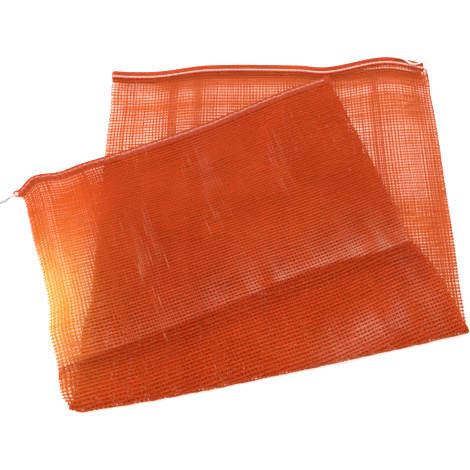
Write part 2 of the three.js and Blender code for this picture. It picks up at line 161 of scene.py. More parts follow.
# Where the top layer is drawn into fine lengthwise wrinkles, which also get painted highlights: centre and
# half size as shares of the width, then centre and half size as distances from the bottom
WRINKLES = [
    (0.28, 0.06, 150, 55),
    (0.51, 0.05, 100, 75),
    (0.755, 0.04, 105, 50),
    (0.285, 0.018, 256, 34),
]
WRINKLE_HEIGHT = 0.9
WRINKLE_SLANT = 0.05
WRINKLE_SWING = 3.0
WRINKLE_SWING_LENGTH = 15.0
WRINKLE_CREST = (0.3, 0.8)
WRINKLE_SPREAD = 1.5

# The net: tapes run along the bag (warps) and round it (wefts)
WARPS = 111
WEFTS = 193
PITCH = BAG_LENGTH / WEFTS
WARP_WIDTH = 1.35
WEFT_WIDTH = 1.95
TAPE_THICKNESS = 0.1
WEAVE_DEPTH = 0.16
# How unevenly the tapes are spaced, and the shares of the width where warps have bunched up, and how strongly
WARP_SCATTER = 0.07
WARP_SPACING = (0.35, 1.6)
WEFT_SCATTER = 0.05
WEFT_SPACING = (0.6, 1.4)
BUNCHES = [(0.18, 0.5), (0.275, 0.45), (0.39, 0.5), (0.62, 0.3), (0.83, 0.35)]
# How much wider the tapes look near the fold, where they are squeezed together, and under the folded half,
# whose weight presses them flat
FOLD_SQUEEZE = 9.0
WIDER_AT_FOLD = 0.75
WIDER_UNDER = 0.65
# Distances from the mouth where the net is divided into pieces
PIECE_ENDS = [0.0, 290.0, 540.0, BAG_LENGTH]
# The turn round the tube past which a point belongs to the upper panel, and how near to its middle a turn
# lies on the side edge
UPPER_TURN = 1.6
SIDE_TURNS = 1.5


def ease(value, start, end):
    """0 up to start and 1 from end on, with a smooth step between them."""
    t = np.clip((np.asarray(value, float) - start) / (end - start), 0, 1)
    return t * t * (3 - 2 * t)


def hill(value, centre, half):
    """1 at the centre, falling off smoothly on both sides."""
    return np.exp(-(((value - centre) / half) ** 2))


def spot(across, back, centre, half, back_centre, back_half):
    """A hill both across the net and along it, by the distance from the bottom."""
    return hill(across, centre, half) * hill(back, back_centre, back_half)


def unit(v):
    return v / np.maximum(np.linalg.norm(v, axis=-1, keepdims=True), 1e-9)


def read_table(keys, values, at):
    """A smooth curve through a table's rows, as in the part's source."""
    keys, values = np.asarray(keys), np.asarray(values)
    last = len(keys) - 1
    lower = np.maximum(np.arange(last + 1) - 1, 0)
    upper = np.minimum(np.arange(last + 1) + 1, last)
    slopes = (values[upper] - values[lower]) / (keys[upper] - keys[lower])
    at = np.asarray(at, float)
    high = np.clip(np.searchsorted(keys, at), 1, last)
    low = high - 1
    span = keys[high] - keys[low]
    t = np.clip((at - keys[low]) / span, 0, 1)
    rise = values[high] - values[low]
    a = slopes[low] * span - rise
    b = rise - slopes[high] * span
    return values[low] + rise * t + t * (1 - t) * (a * (1 - t) + b * t)


class Waves:
    """A smooth random field over a plane, mostly between -1 and 1."""

    WAVES = 10
    PEAK = 1.1

    def __init__(self, seed, longest, shortest):
        rng = np.random.default_rng(seed)
        length = np.exp(rng.uniform(math.log(shortest), math.log(longest), self.WAVES))
        angle = rng.uniform(0, math.pi, self.WAVES)
        self.kx = 2 * math.pi / length * np.cos(angle)
        self.ky = 2 * math.pi / length * np.sin(angle)
        self.phase = rng.uniform(0, 2 * math.pi, self.WAVES)
        self.size = (length / longest) ** 0.5
        self.size /= np.sqrt((self.size**2).sum()) * self.PEAK

    def __call__(self, x, y):
        x, y = np.broadcast_arrays(np.asarray(x, float), np.asarray(y, float))
        total = np.zeros(x.shape)
        for kx, ky, phase, size in zip(self.kx, self.ky, self.phase, self.size):
            total += size * np.sin(kx * x + ky * y + phase)
        return total


# Each field's seed, and its longest and shortest wave
sag = Waves(3, 220, 70)
ripple = Waves(4, 90, 28)
skin_lift = Waves(5, 120, 30)
shift_along = Waves(6, 320, 110)
shift_across = Waves(7, 320, 110)
fine_along = Waves(8, 40, 14)
fine_across = Waves(9, 40, 14)
wrinkle = Waves(12, 22, 11)


def crease_offset(across, from_bottom):
    """How far a point lies beyond the crease, towards the bottom hem."""
    return CREASE_FROM_BOTTOM + CREASE_RIGHT_RISE * ease(across, CREASE_BEND, 1.0) - from_bottom


def wrinkles(across, from_bottom):
    """How high the top layer's wrinkles stand, from 0 to 1."""
    region = sum(spot(across, from_bottom, *place) for place in WRINKLES)
    swing = WRINKLE_SWING * np.sin(from_bottom / WRINKLE_SWING_LENGTH)
    x = across * PANEL_WIDTH + swing + WRINKLE_SLANT * from_bottom
    crest = ease(wrinkle(x, WRINKLE_SLANT * from_bottom), *WRINKLE_CREST)
    return crest * np.clip(region * WRINKLE_SPREAD, 0, 1)


def mouth_start(upper, across):
    """Where a panel's mouth edge lies, seen from above."""
    rise = read_table(END_SHARES, UPPER_MOUTH if upper else LOWER_MOUTH, across)
    x = PANEL_INSET + across * PANEL_WIDTH
    return np.stack([x, FOLD_LEFT_LENGTH + rise * BAG_LENGTH], -1)


def fold_axis(across):
    """The line that the net is bent round, seen from above."""
    x = PANEL_INSET + across * PANEL_WIDTH
    out = FOLD_BOW * np.sin(math.pi * across) - FOLD_STACK / 2
    return np.stack([x + FOLD_OUT[0] * out, x * math.tan(FOLD_ANGLE) + FOLD_OUT[1] * out], -1)


def fold_centre(across):
    """The fold's distance from the mouth, along the net."""
    return FOLD_LEFT_LENGTH - fold_axis(across)[..., 1] + FOLD_ARC / 2


def distance_from_fold(x, y):
    return (x * math.tan(FOLD_ANGLE) - y) * FOLD_OUT[1]


def sagging(x, y):
    """How far the loose net over the hollow of the bag sinks, seen from above."""
    inside = ease(x, *SAG_FROM_SIDE) * ease(BAG_WIDTH - x, *SAG_FROM_SIDE)
    inside = inside * ease(distance_from_fold(x, y), *SAG_FROM_FOLD)
    inside = inside * ease(FOLD_LEFT_LENGTH - y, *SAG_FROM_MOUTH)
    return inside * (SAG_DEPTH + SAG_CHANGE * sag(x, y) + SAG_RIPPLE * ripple(x, y))


def support_height(x, y):
    """The height of what the folded half lies on: the other half, and then the surface on the left."""
    height = REST_HEIGHT - HEM_STACK * (1 - ease(distance_from_fold(x, y), 0, FOLD_SOFTNESS))
    return height * (1 - ease(-x, DRAPE_START, DRAPE_START + DRAPE_RUN))


def mouth_half(upper, across, along):
    """A point of the half with the mouth, by its distance from the mouth edge."""
    start, end = mouth_start(upper, across), fold_axis(across)
    length = np.linalg.norm(end - start, axis=-1)
    point = start + (end - start) * (along / length)[..., None]
    low = WALL / 2 + HEM_STACK * (1 - ease(along, HEM_RISE_END, HEM_RISE_START))
    drop = HEM_STACK * (1 - ease(distance_from_fold(point[..., 0], point[..., 1]), 0, FOLD_SOFTNESS))
    full = MOUTH_TOP + WALL / 2 - drop - low
    from_side = np.minimum(across, 1 - across) * PANEL_WIDTH
    least = LEAST_SPREAD + WALL
    spread = least + (full - least) * ease(from_side, 0, SIDE_SOFTNESS)
    sink = np.minimum(np.maximum(sagging(point[..., 0], point[..., 1]), 0), spread - SAG_CLEAR)
    z = low + spread - sink if upper else low
    return np.concatenate([point, z[..., None]], -1)


def folded_length(across):
    """The folded half's length, from the fold to the closed end."""
    rise = read_table(END_SHARES, BOTTOM_END, across) * BAG_LENGTH
    return BAG_LENGTH - (FOLD_LEFT_LENGTH - fold_axis(across)[..., 1]) - FOLD_ARC + rise


def folded_plan(across, from_bottom):
    """A point of the folded half, seen from above."""
    length = folded_length(across)
    along = length - from_bottom
    left = read_table(SWAY_SHARES, LEFT_SWAY, along / length)
    right = read_table(SWAY_SHARES, RIGHT_SWAY, along / length)
    point = fold_axis(across) + FOLDED_WAY * along[..., None]
    pulled = KINK * ease(across, KINK_START, 1.0) * hill(from_bottom, KINK_FROM_BOTTOM, KINK_HALF)
    point[..., 0] -= (left + (right - left) * across) * BAG_WIDTH + pulled
    return point


def folded_half(upper, across, from_bottom):
    """A point of the half that lies on top. Its lower panel is the topmost layer."""
    across, from_bottom = np.broadcast_arrays(across, from_bottom)
    point = folded_plan(across, from_bottom)
    flat = folded_plan(across, np.maximum(from_bottom, BOTTOM_LIFT_END))
    closing = 1 - ease(from_bottom, BOTTOM_LIFT_END, BOTTOM_LIFT_START)
    offset = crease_offset(across, from_bottom)
    width = np.where(offset < 0, CREASE_NEAR, CREASE_FAR)
    crease = CREASE_HEIGHT * (1 - ease(np.abs(offset) / width, 0, 1))
    under = support_height(flat[..., 0], flat[..., 1]) + REST_GAP + BOTTOM_HEM_LIFT * closing + crease
    spread = FOLDED_SPREAD + (CLOSED_SPREAD - FOLDED_SPREAD) * closing
    sink = np.maximum(sagging(flat[..., 0], flat[..., 1]), 0) * (1 - closing)
    x, y = point[..., 0], point[..., 1]
    loose = (1 - closing) * ease(distance_from_fold(x, y), 0, LOOSE_FROM_FOLD)
    z = under + WALL / 2 - sink + loose * RIPPLE_HEIGHT * (1 + ripple(x + FIELD_APART, y))
    if not upper:
        lift = loose * SKIN_HEIGHT * (1 + skin_lift(x, y)) + WRINKLE_HEIGHT * wrinkles(across, from_bottom)
        z = z + spread + WALL + lift
    return np.concatenate([point, z[..., None]], -1)


def around_side(lower, upper, facing, side, turn):
    """A point and outward normal of the tube through two panels' points.

    turn runs from 0 on the lower panel to pi on the upper one, with the side edge in between.
    """
    half = (upper - lower) / 2
    radius = np.abs((half * facing).sum(-1))
    cos, sin = np.cos(turn)[..., None], np.sin(turn)[..., None]
    point = (lower + upper) / 2 - half * cos + side * (radius[..., None] * sin)
    return point, facing * cos + side * sin


# The net spends this much more length in the fold than the source's middle line does
OUTER_ARC = math.pi * (FOLD_STACK - WALL) / 2
ARC_SLACK = OUTER_ARC - FOLD_ARC
# Over what lengths it makes up for that, and for the slant of the closed end and of the mouth
ARC_SPREAD = 40.0
END_SPREAD = 220.0
MOUTH_SPREAD = 120.0
# From here on the two panels' mouth edges count as one
BELOW_HEM = 46.0


def net_points(across, travel, turn):
    """Points and outward normals of the flattened tube of net.

    across runs from the left side to the right one, and travel from the mouth to the closed end.
    """
    across, travel, turn = np.broadcast_arrays(*(np.asarray(v, float) for v in (across, travel, turn)))
    axis = fold_axis(across)
    q = travel - fold_centre(across)
    q = q + ARC_SLACK / 2 * np.tanh(q / ARC_SPREAD)
    angle = np.clip(q / OUTER_ARC, -0.5, 0.5) * math.pi
    near_mouth = 1 - ease(travel, 0, MOUTH_SPREAD)
    below_hem = ease(travel, TUBE_RIM, BELOW_HEM)
    near_bottom = 1 - ease(BAG_LENGTH - travel, 0, END_SPREAD)
    before = np.maximum(-q - OUTER_ARC / 2, 0)
    after = np.maximum(q - OUTER_ARC / 2, 0)
    panels = []
    for upper in (False, True):
        start = mouth_start(upper, across)
        length = np.linalg.norm(axis - start, axis=-1)
        rise = (mouth_start(True, across)[..., 1] - FOLD_LEFT_LENGTH) * below_hem
        rise = (rise + (start[..., 1] - FOLD_LEFT_LENGTH) * (1 - below_hem)) * near_mouth
        along = length - (before + rise * (before > 0))
        first = mouth_half(upper, across, np.clip(along, 0, length))
        bottom_rise = read_table(END_SHARES, BOTTOM_END, across) * BAG_LENGTH * near_bottom
        folded = folded_half(upper, across, folded_length(across) - after - bottom_rise * (after > 0))
        at_before = mouth_half(upper, across, length)
        at_after = folded_half(upper, across, folded_length(across))
        radius = (at_after[..., 2] - at_before[..., 2]) / 2
        bend = (at_before + at_after) / 2
        bend[..., :2] += FOLD_OUT * (radius * np.cos(angle))[..., None]
        bend[..., 2] += radius * np.sin(angle)
        point = np.where((q < -OUTER_ARC / 2)[..., None], first, bend)
        panels.append(np.where((q > OUTER_ARC / 2)[..., None], folded, point))
    heading = FOLD_ANGLE * (1 + angle / (math.pi / 2))
    facing = np.stack([FOLD_OUT[0] * np.cos(angle), FOLD_OUT[1] * np.cos(angle), np.sin(angle)], -1)
    way = np.where(across > 0.5, 1.0, -1.0)
    side = np.stack([way * np.cos(heading), way * np.sin(heading), np.zeros_like(way)], -1)
    return around_side(*panels, facing, side, turn)


def mouth_points(across, along, turn, out):
    """Points of the mouth hem: along from the mouth edge, and out from the net's own wall."""
    given = (np.asarray(v, float) for v in (across, along, turn, out))
    across, along, turn, out = np.broadcast_arrays(*given)
    lower = mouth_half(False, across, along)
    upper = mouth_half(True, across, along)
    way = np.where(across > 0.5, 1.0, -1.0)
    zero = np.zeros_like(way)
    side = np.stack([way, zero, zero], -1)
    facing = np.stack([zero, zero, zero - 1], -1)
    point, outward = around_side(lower, upper, facing, side, turn)
    return point + outward * out[..., None], outward


def new_object(name, points, faces, uv=None):
    """A smooth-shaded mesh from points in millimetres and an array of quads or a list of faces."""
    mesh = bpy.data.meshes.new(name)
    points = (np.asarray(points).reshape(-1, 3) + ORIGIN) / 1000
    if isinstance(faces, np.ndarray):
        starts = np.arange(0, faces.size, faces.shape[1], dtype=np.int32)
        mesh.vertices.add(len(points))
        mesh.vertices.foreach_set("co", points.ravel())
        mesh.loops.add(faces.size)
        mesh.loops.foreach_set("vertex_index", faces.ravel().astype(np.int32))
        mesh.polygons.add(len(faces))
        mesh.polygons.foreach_set("loop_start", starts)
        mesh.update(calc_edges=True)
    else:
        mesh.from_pydata([tuple(p) for p in points], [], faces)
    if uv is not None:
        mesh.uv_layers.new(name="UVMap").data.foreach_set("uv", np.asarray(uv, np.float32).ravel())
    mesh.polygons.foreach_set("use_smooth", np.full(len(mesh.polygons), True))
    mesh.update()
    obj = bpy.data.objects.new(name, mesh)
    bpy.context.scene.collection.objects.link(obj)
    return obj


def paint(obj, amounts):
    """Keeps three amounts from 0 to 1 at each point, for its material to mix colours by.

    On the net they are amounts of painted glow, painted highlight and painted shade, which also carry some of
    its own tone (darker warps, the hems' even colour), and on yarn the first is how far it is tinted towards
    orange-pink.
    """
    attribute = obj.data.color_attributes.new("tone_and_painted_light", "FLOAT_COLOR", "POINT")
    full = np.ones((len(obj.data.vertices), 4), np.float32)
    full[:, :3] = amounts
    attribute.data.foreach_set("color", full.ravel())


def dress(obj, material, stands_for=()):
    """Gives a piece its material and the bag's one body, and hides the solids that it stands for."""
    obj.data.materials.append(material)
    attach(obj, "root")
    if stands_for:
        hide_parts(*stands_for)


class Tapes:
    """Collects flat tapes, each a closed strip with four sides, into one mesh."""

    # How much length one step of the texture covers, and how far each row's texture is shifted
    UV_LENGTH = 10.0
    UV_ROW_SHIFT = 37.7

    def __init__(self):
        self.points, self.faces, self.uv, self.tone_and_painted_light, self.count = [], [], [], [], 0

    def add(self, path, normal, width, roll, start, tone_and_painted_light):
        """path and normal are rows of samples, one row for each tape."""
        rows, samples = path.shape[:2]
        width = np.broadcast_to(width, (rows, samples))[..., None]
        along = unit(np.gradient(path, axis=1))
        side = unit(np.cross(along, normal))
        up = np.cross(side, along)
        roll = np.broadcast_to(roll, (rows, samples))[..., None]
        cos, sin = np.cos(roll), np.sin(roll)
        half, thick = (side * cos + up * sin) * width / 2, (up * cos - side * sin) * TAPE_THICKNESS / 2
        corners = [path - half - thick, path + half - thick, path + half + thick, path - half + thick]
        self.points.append(np.stack(corners, 2).reshape(-1, 3))
        first = self.count + (np.arange(rows * samples) * 4).reshape(rows, samples)
        a, b = first[:, :-1], first[:, 1:]
        for k in range(4):
            n = (k + 1) % 4
            self.faces.append(np.stack([a + k, a + n, b + n, b + k], -1).reshape(-1, 4))
        ends = [first[:, 0], first[:, -1]]
        self.faces.append(np.stack([ends[0] + 3, ends[0] + 2, ends[0] + 1, ends[0]], -1))
        self.faces.append(np.stack([ends[1], ends[1] + 1, ends[1] + 2, ends[1] + 3], -1))
        self.tone_and_painted_light.append(np.repeat(np.broadcast_to(tone_and_painted_light, (rows, samples, 3)).reshape(-1, 3), 4, axis=0))
        self.count += rows * samples * 4
        step = np.linalg.norm(np.diff(path, axis=1), axis=-1)
        run = np.concatenate([np.zeros((rows, 1)), np.cumsum(step, axis=1)], 1) + start
        run = (run + np.arange(rows)[:, None] * self.UV_ROW_SHIFT) / self.UV_LENGTH
        va, vb = run[:, :-1], run[:, 1:]
        one, zero = np.ones_like(va), np.zeros_like(va)
        for low, high in ((zero, one), (one, one), (one, zero), (zero, zero)):
            quad = np.stack([low, va, high, va, high, vb, low, vb], -1)
            self.uv.append(quad.reshape(-1, 4, 2))
        for v in (run[:, 0], run[:, -1]):
            self.uv.append(np.stack([0 * v, v, 0 * v + 1, v, 0 * v + 1, v, 0 * v, v], -1).reshape(-1, 4, 2))

    def build(self, name):
        points, faces, uv = (np.concatenate(rows) for rows in (self.points, self.faces, self.uv))
        made = new_object(name, points, faces, uv)
        paint(made, np.concatenate(self.tone_and_painted_light).clip(0, 1))
        return made


# Cords: lobes in the section, length of a full twist and depth of the grooves between the lobes
CORD_LAY = (3, 6.5, 0.2)
KNOT_LAY = (3, 5.5, 0.2)
THREAD_LAY = (2, 5.0, 0.12)
TAIL_LAY = (4, 7.0, 0.3)
SEAM_KNOT_LAY = (3, 4.0, 0.25)
# How small the round cap of a cord's end gets, as a share of the section's area
CAP_LEAST = 0.1
SPAN_SAMPLES = 24


def run_along(path):
    """Each point's distance from the path's start, along the path."""
    return np.concatenate([[0], np.cumsum(np.linalg.norm(np.diff(path, axis=0), axis=1))])


def sweep_lobes(path, diameter, lay, sides):
    """Points and faces of a twisted cord along a path, ended with round caps."""
    lobes, twist, depth = lay
    along = unit(np.gradient(path, axis=0))
    normal = np.array([0.0, 0.0, 1.0])
    frames = []
    for direction in along:
        normal = unit(normal - direction * (normal * direction).sum())
        frames.append(normal)
    normal = np.array(frames)
    side = np.cross(along, normal)
    run = run_along(path)
    angle = np.linspace(0, 2 * math.pi, sides, endpoint=False)
    turned = (angle[None, :] + 2 * math.pi * run[:, None] / twist)[..., None]
    radius = diameter / 2 * (1 - depth + depth * np.abs(np.cos(lobes * angle / 2)))[None, :]
    to_end = np.clip(np.minimum(run, run[-1] - run) / (diameter / 2), 0, 1)
    radius = (radius * np.sqrt(to_end * (1 - CAP_LEAST) + CAP_LEAST)[:, None])[..., None]
    outward = normal[:, None, :] * np.cos(turned) + side[:, None, :] * np.sin(turned)
    ring = path[:, None, :] + radius * outward
    faces = []
    for i in range(len(path) - 1):
        for k in range(sides):
            n = (k + 1) % sides
            faces.append((i * sides + k, i * sides + n, (i + 1) * sides + n, (i + 1) * sides + k))
    faces.append(tuple(reversed(range(sides))))
    faces.append(tuple((len(path) - 1) * sides + k for k in range(sides)))
    return ring.reshape(-1, 3), faces


def tube_mesh(paths, diameter):
    """Several threads in one mesh."""
    points, faces, first = [], [], 0
    for path in paths:
        made, quads = sweep_lobes(path, diameter, THREAD_LAY, sides=6)
        points.append(made)
        faces += [tuple(first + k for k in face) for face in quads]
        first += len(made)
    return np.concatenate(points), faces


def smooth_path(points, spacing):
    """An even, smooth path through chosen points (centripetal Catmull-Rom)."""
    points = np.asarray(points, float)
    ends = [2 * points[0] - points[1], *points, 2 * points[-1] - points[-2]]
    made = []
    for p0, p1, p2, p3 in zip(ends, ends[1:], ends[2:], ends[3:]):
        t0 = 0.0
        t1 = t0 + math.sqrt(np.linalg.norm(p1 - p0))
        t2 = t1 + math.sqrt(np.linalg.norm(p2 - p1))
        t3 = t2 + math.sqrt(np.linalg.norm(p3 - p2))
        t = np.linspace(t1, t2, SPAN_SAMPLES, endpoint=False)[:, None]
        a1 = (t1 - t) / (t1 - t0) * p0 + (t - t0) / (t1 - t0) * p1
        a2 = (t2 - t) / (t2 - t1) * p1 + (t - t1) / (t2 - t1) * p2
        a3 = (t3 - t) / (t3 - t2) * p2 + (t - t2) / (t3 - t2) * p3
        b1 = (t2 - t) / (t2 - t0) * a1 + (t - t0) / (t2 - t0) * a2
        b2 = (t3 - t) / (t3 - t1) * a2 + (t - t1) / (t3 - t1) * a3
        made.append((t2 - t) / (t2 - t1) * b1 + (t - t1) / (t2 - t1) * b2)
    return resample(np.concatenate([*made, points[-1:]]), spacing)


def resample(path, spacing):
    run = run_along(path)
    count = max(int(round(run[-1] / spacing)), 2)
    even = np.linspace(0, run[-1], count + 1)
    return np.stack([np.interp(even, run, path[:, k]) for k in range(3)], -1)


# Camera, at the photograph's angle. Its lens, in the photograph's pixels, was fitted to the bag's edges.
SENSOR = 36
LENS_PIXELS = 369
PHOTO_PIXELS = 470
CAMERA_ELEVATION = math.radians(74.25)
CAMERA_DISTANCE = 0.5184
LOOK_AT = np.array([0.00715, -0.03019, 0.0])
camera = bpy.data.objects.new("camera", bpy.data.cameras.new("camera"))
bpy.context.scene.collection.objects.link(camera)
bpy.context.scene.camera = camera
camera.data.sensor_width = SENSOR
camera.data.lens = SENSOR * LENS_PIXELS / PHOTO_PIXELS
camera.data.clip_start = 0.01
camera_way = np.array([0, -math.cos(CAMERA_ELEVATION), math.sin(CAMERA_ELEVATION)])
camera.location = LOOK_AT + CAMERA_DISTANCE * camera_way
camera.rotation_euler = (math.pi / 2 - CAMERA_ELEVATION, 0, 0)


class Nodes:
    """A few short calls for building a material's nodes."""

    # The share of a fine noise, mixed with a broad one
    FINE_SHARE = 0.6

    def __init__(self, name):
        self.material = bpy.data.materials.new(name)
        self.material.use_nodes = True
        self.tree = self.material.node_tree
        self.shader = self.tree.nodes["Principled BSDF"]
        self.output = self.tree.nodes["Material Output"]

    def add(self, kind, links=(), **values):
        node = self.tree.nodes.new(kind)
        for key, value in values.items():
            setattr(node, key, value)
        for key, value in dict(links).items():
            self.set(node, key, value)
        return node

    def set(self, node, key, value):
        if isinstance(value, bpy.types.NodeSocket):
            self.tree.links.new(value, node.inputs[key])
        else:
            node.inputs[key].default_value = value

    def shade(self, **values):
        """Sets the shader's inputs, whose names are given with underscores for spaces."""
        for key, value in values.items():
            self.set(self.shader, key.replace("_", " "), value)

    def noise(self, vector, scale, detail, roughness=0.55):
        links = {"Vector": vector, "Scale": scale, "Detail": detail, "Roughness": roughness}
        return self.add("ShaderNodeTexNoise", links).outputs["Fac"]

    def ramp(self, value, stops):
        node = self.add("ShaderNodeValToRGB", {"Fac": value})
        elements = node.color_ramp.elements
        while len(elements) < len(stops):
            elements.new(0.5)
        for element, (at, colour) in zip(elements, stops):
            element.position = at
            element.color = (*colour, 1)
        return node.outputs["Color"]

    def math(self, operation, a, b):
        node = self.add("ShaderNodeMath", operation=operation)
        self.set(node, 0, a)
        self.set(node, 1, b)
        return node.outputs[0]

    def both(self, fine, broad):
        fine = self.math("MULTIPLY", fine, self.FINE_SHARE)
        return self.math("ADD", fine, self.math("MULTIPLY", broad, 1 - self.FINE_SHARE))

    def tone_and_painted_light(self, count):
        """The first amounts that paint keeps at each point."""
        colour = self.add("ShaderNodeAttribute", attribute_name="tone_and_painted_light").outputs["Color"]
        return list(self.add("ShaderNodeSeparateColor", {"Color": colour}).outputs)[:count]

    def mixed(self, first, amounts, colours):
        """A colour mixed with others one after another, by the amounts."""
        for amount, colour in zip(amounts, colours):
            links = {"Fac": amount, "Color1": first, "Color2": (*colour, 1)}
            first = self.add("ShaderNodeMixRGB", links).outputs[0]
        return first

    def bump(self, height, strength, distance):
        links = {"Height": height, "Strength": strength, "Distance": distance}
        return self.add("ShaderNodeBump", links).outputs["Normal"]


# Colours of the painted glow, painted highlight and painted shade on the net, by reflection and with light
# coming through
REFLECTED = [(0.98, 0.5, 0.1), (0.95, 0.42, 0.28), (0.55, 0.04, 0.006)]
PASSED = [(1.0, 0.92, 0.42), (1.0, 0.8, 0.6), (0.82, 0.36, 0.1)]
# How far the tape's streaks are drawn out, and how much less light comes through its darkest places
STREAK_STRETCH = (6, 0.25, 1)
LEAST_LIGHT = 0.86


def tape_material(name, dark, middle, light, through, share, roughness):
    """Thin glossy plastic tape: coloured by reflection, and brighter where light comes through it."""
    m = Nodes(name)
    place = m.add("ShaderNodeTexCoord")
    links = {"Vector": place.outputs["UV"], "Scale": STREAK_STRETCH}
    uv = m.add("ShaderNodeMapping", links).outputs[0]
    streaks = m.noise(uv, scale=3.0, detail=4.0)
    mixed = m.both(streaks, m.noise(place.outputs["Object"], scale=14.0, detail=2.0))
    colour = m.ramp(mixed, [(0.3, dark), (0.5, middle), (0.72, light)])
    amounts = m.tone_and_painted_light(3)
    # The painted glow, painted highlight and painted shade are mixed into the reflected and the passing
    # colour by these amounts
    m.shade(
        Base_Color=m.mixed(colour, amounts, REFLECTED),
        Roughness=roughness,
        IOR=1.5,
        Specular_IOR_Level=0.2,
        Normal=m.bump(streaks, strength=0.35, distance=0.00012),
    )
    passing = m.ramp(mixed, [(0.3, tuple(LEAST_LIGHT * c for c in through)), (0.7, through)])
    glow = m.add("ShaderNodeBsdfTranslucent", {"Color": m.mixed(passing, amounts, PASSED)})
    mix = m.add("ShaderNodeMixShader", {"Fac": share})
    m.tree.links.new(m.shader.outputs[0], mix.inputs[1])
    m.tree.links.new(glow.outputs[0], mix.inputs[2])
    m.tree.links.new(mix.outputs[0], m.output.inputs["Surface"])
    return m.material


def yarn_material(name, dark, light, scale, tinted=None):
    """Soft matt yarn with fine fibres, darker where their bump lies low, and a tint by the amount at each
    point.
    """
    m = Nodes(name)
    place = m.add("ShaderNodeTexCoord").outputs["Object"]
    fibres = m.noise(place, scale, detail=5.0, roughness=0.7)
    mixed = m.both(fibres, m.noise(place, scale / 12, detail=2.0))
    colour = m.ramp(mixed, [(0.32, dark), (0.62, light)])
    if tinted is not None:
        colour = m.mixed(colour, m.tone_and_painted_light(1), [tinted])
    m.shade(
        Base_Color=colour,
        Roughness=0.85,
        Sheen_Weight=0.1,
        Sheen_Roughness=0.5,
        Normal=m.bump(fibres, strength=0.6, distance=0.0002),
    )
    return m.material


net_material = tape_material(
    "net_plastic",
    dark=(0.88, 0.072, 0.01),
    middle=(0.93, 0.112, 0.018),
    light=(0.96, 0.18, 0.04),
    through=(1.0, 0.7, 0.29),
    share=0.74,
    roughness=0.32,
)
hem_material = tape_material(
    "hem_plastic",
    dark=(0.75, 0.06, 0.01),
    middle=(0.85, 0.1, 0.02),
    light=(0.92, 0.18, 0.05),
    through=(0.99, 0.56, 0.2),
    share=0.62,
    roughness=0.36,
)
cord_material = yarn_material(
    "cord_yarn",
    dark=(0.78, 0.55, 0.46),
    light=(0.97, 0.86, 0.79),
    scale=900.0,
    tinted=(0.9, 0.42, 0.3),
)
thread_material = yarn_material(
    "thread_yarn",
    dark=(0.56, 0.5, 0.44),
    light=(0.86, 0.81, 0.76),
    scale=1400.0,
    tinted=(0.95, 0.36, 0.22),
)
# The loose thread is pale yarn; its grey is painted shade, which makes it show against the white floor
tail_material = yarn_material("tail_yarn_painted_shade", dark=(0.3, 0.32, 0.3), light=(0.6, 0.62, 0.6), scale=1400.0)
knot_material = yarn_material("seam_knot_yarn", dark=(0.7, 0.42, 0.38), light=(0.92, 0.74, 0.7), scale=1400.0)

# The net's tapes
rng = np.random.default_rng(11)


def warp_places():
    """Where the warps run across a panel, with the places where they have bunched up."""
    at = (np.arange(WARPS) + 0.5) / WARPS
    spacing = 1 + WARP_SCATTER * rng.standard_normal(WARPS)
    for centre, strength in BUNCHES:
        spacing -= strength * hill(at * WARPS, centre * WARPS, 2)
    spacing = np.clip(spacing, *WARP_SPACING)
    edges = np.cumsum(spacing) - spacing / 2
    return edges / spacing.sum()


def weft_places():
    """The wefts' distances from the mouth."""
    spacing = np.clip(1 + WEFT_SCATTER * rng.standard_normal(WEFTS), *WEFT_SPACING)
    return np.cumsum(spacing) / spacing.sum() * (BAG_LENGTH - TUBE_RIM) + TUBE_RIM - PITCH / 2


# The upper panel's warps lie about half a cell beside the lower one's
lower_warps = warp_places()
warp_shift = (0.5 + 0.1 * rng.standard_normal(WARPS)) / WARPS
upper_warps = np.clip(lower_warps + warp_shift, 0.001, 0.999)
wefts = weft_places()

# How far the weave is pulled askew, and over what length at each end it comes straight again
WEAVE_SKEW = math.tan(math.radians(3.3))
SKEW_RUN = 130.0
# How far the weave is shifted by a field for both panels, by one for each panel and by a fine one, and the
# distances from the sides and the ends over which it calms down
SIDEWAYS = (0.8, 0.5, 0.15)
LENGTHWAYS = (1.1, 0.45, 0.1)
SIDEWAYS_CALM = (0, 25)
LENGTHWAYS_CALM = (6, 50)
MOUTH_CALM = (TUBE_RIM, 40)
BOTTOM_CALM = (4, 40)
PANELS_APART = 700
# Between the fold and the crease, over these distances past them, the two panels lie half a cell apart
PAST_FOLD = (5, 25)
PAST_CREASE = (-20, 5)
# Elsewhere beside the left edge, up to these shares of the width, one panel's wefts lie under the other's,
# apart from how far behind them they look to lie
LEFT_IN_LINE = (0.05, 0.09)
SEEN_BEHIND = 1.2


def skew(across, travel):
    straight = ease(np.minimum(travel, BAG_LENGTH - travel), 0, SKEW_RUN)
    return (0.5 - across) * PANEL_WIDTH * WEAVE_SKEW * straight


def drift(across, travel, turn):
    """How far the loose weave has shifted from its even grid: a share across, and millimetres along."""
    x, back = across * PANEL_WIDTH, BAG_LENGTH - travel
    upper = turn > UPPER_TURN
    own_x = x + PANELS_APART * upper
    from_side = np.minimum(across, 1 - across) * PANEL_WIDTH
    both, own, fine = SIDEWAYS
    sideways = both * shift_across(x, travel) + own * shift_across(own_x, travel)
    sideways = (sideways + fine * fine_across(own_x, travel)) * ease(from_side, *SIDEWAYS_CALM) / PANEL_WIDTH
    both, own, fine = LENGTHWAYS
    lengthways = both * shift_along(x, travel) + own * shift_along(own_x + FIELD_APART, travel)
    lengthways = lengthways * ease(from_side, *LENGTHWAYS_CALM) + fine * fine_along(own_x, travel)
    lengthways = lengthways * ease(travel, *MOUTH_CALM) * ease(back, *BOTTOM_CALM)
    past_fold = ease(travel - fold_centre(across), *PAST_FOLD)
    apart = past_fold * (1 - ease(crease_offset(across, back), *PAST_CREASE))
    in_line = past_fold * (1 - apart) * (1 - ease(across, *LEFT_IN_LINE)) * ease(back, *BOTTOM_CALM)
    lengthways = lengthways + (0.5 * PITCH * apart + SEEN_BEHIND * in_line) * upper
    return sideways, lengthways + skew(across, travel)


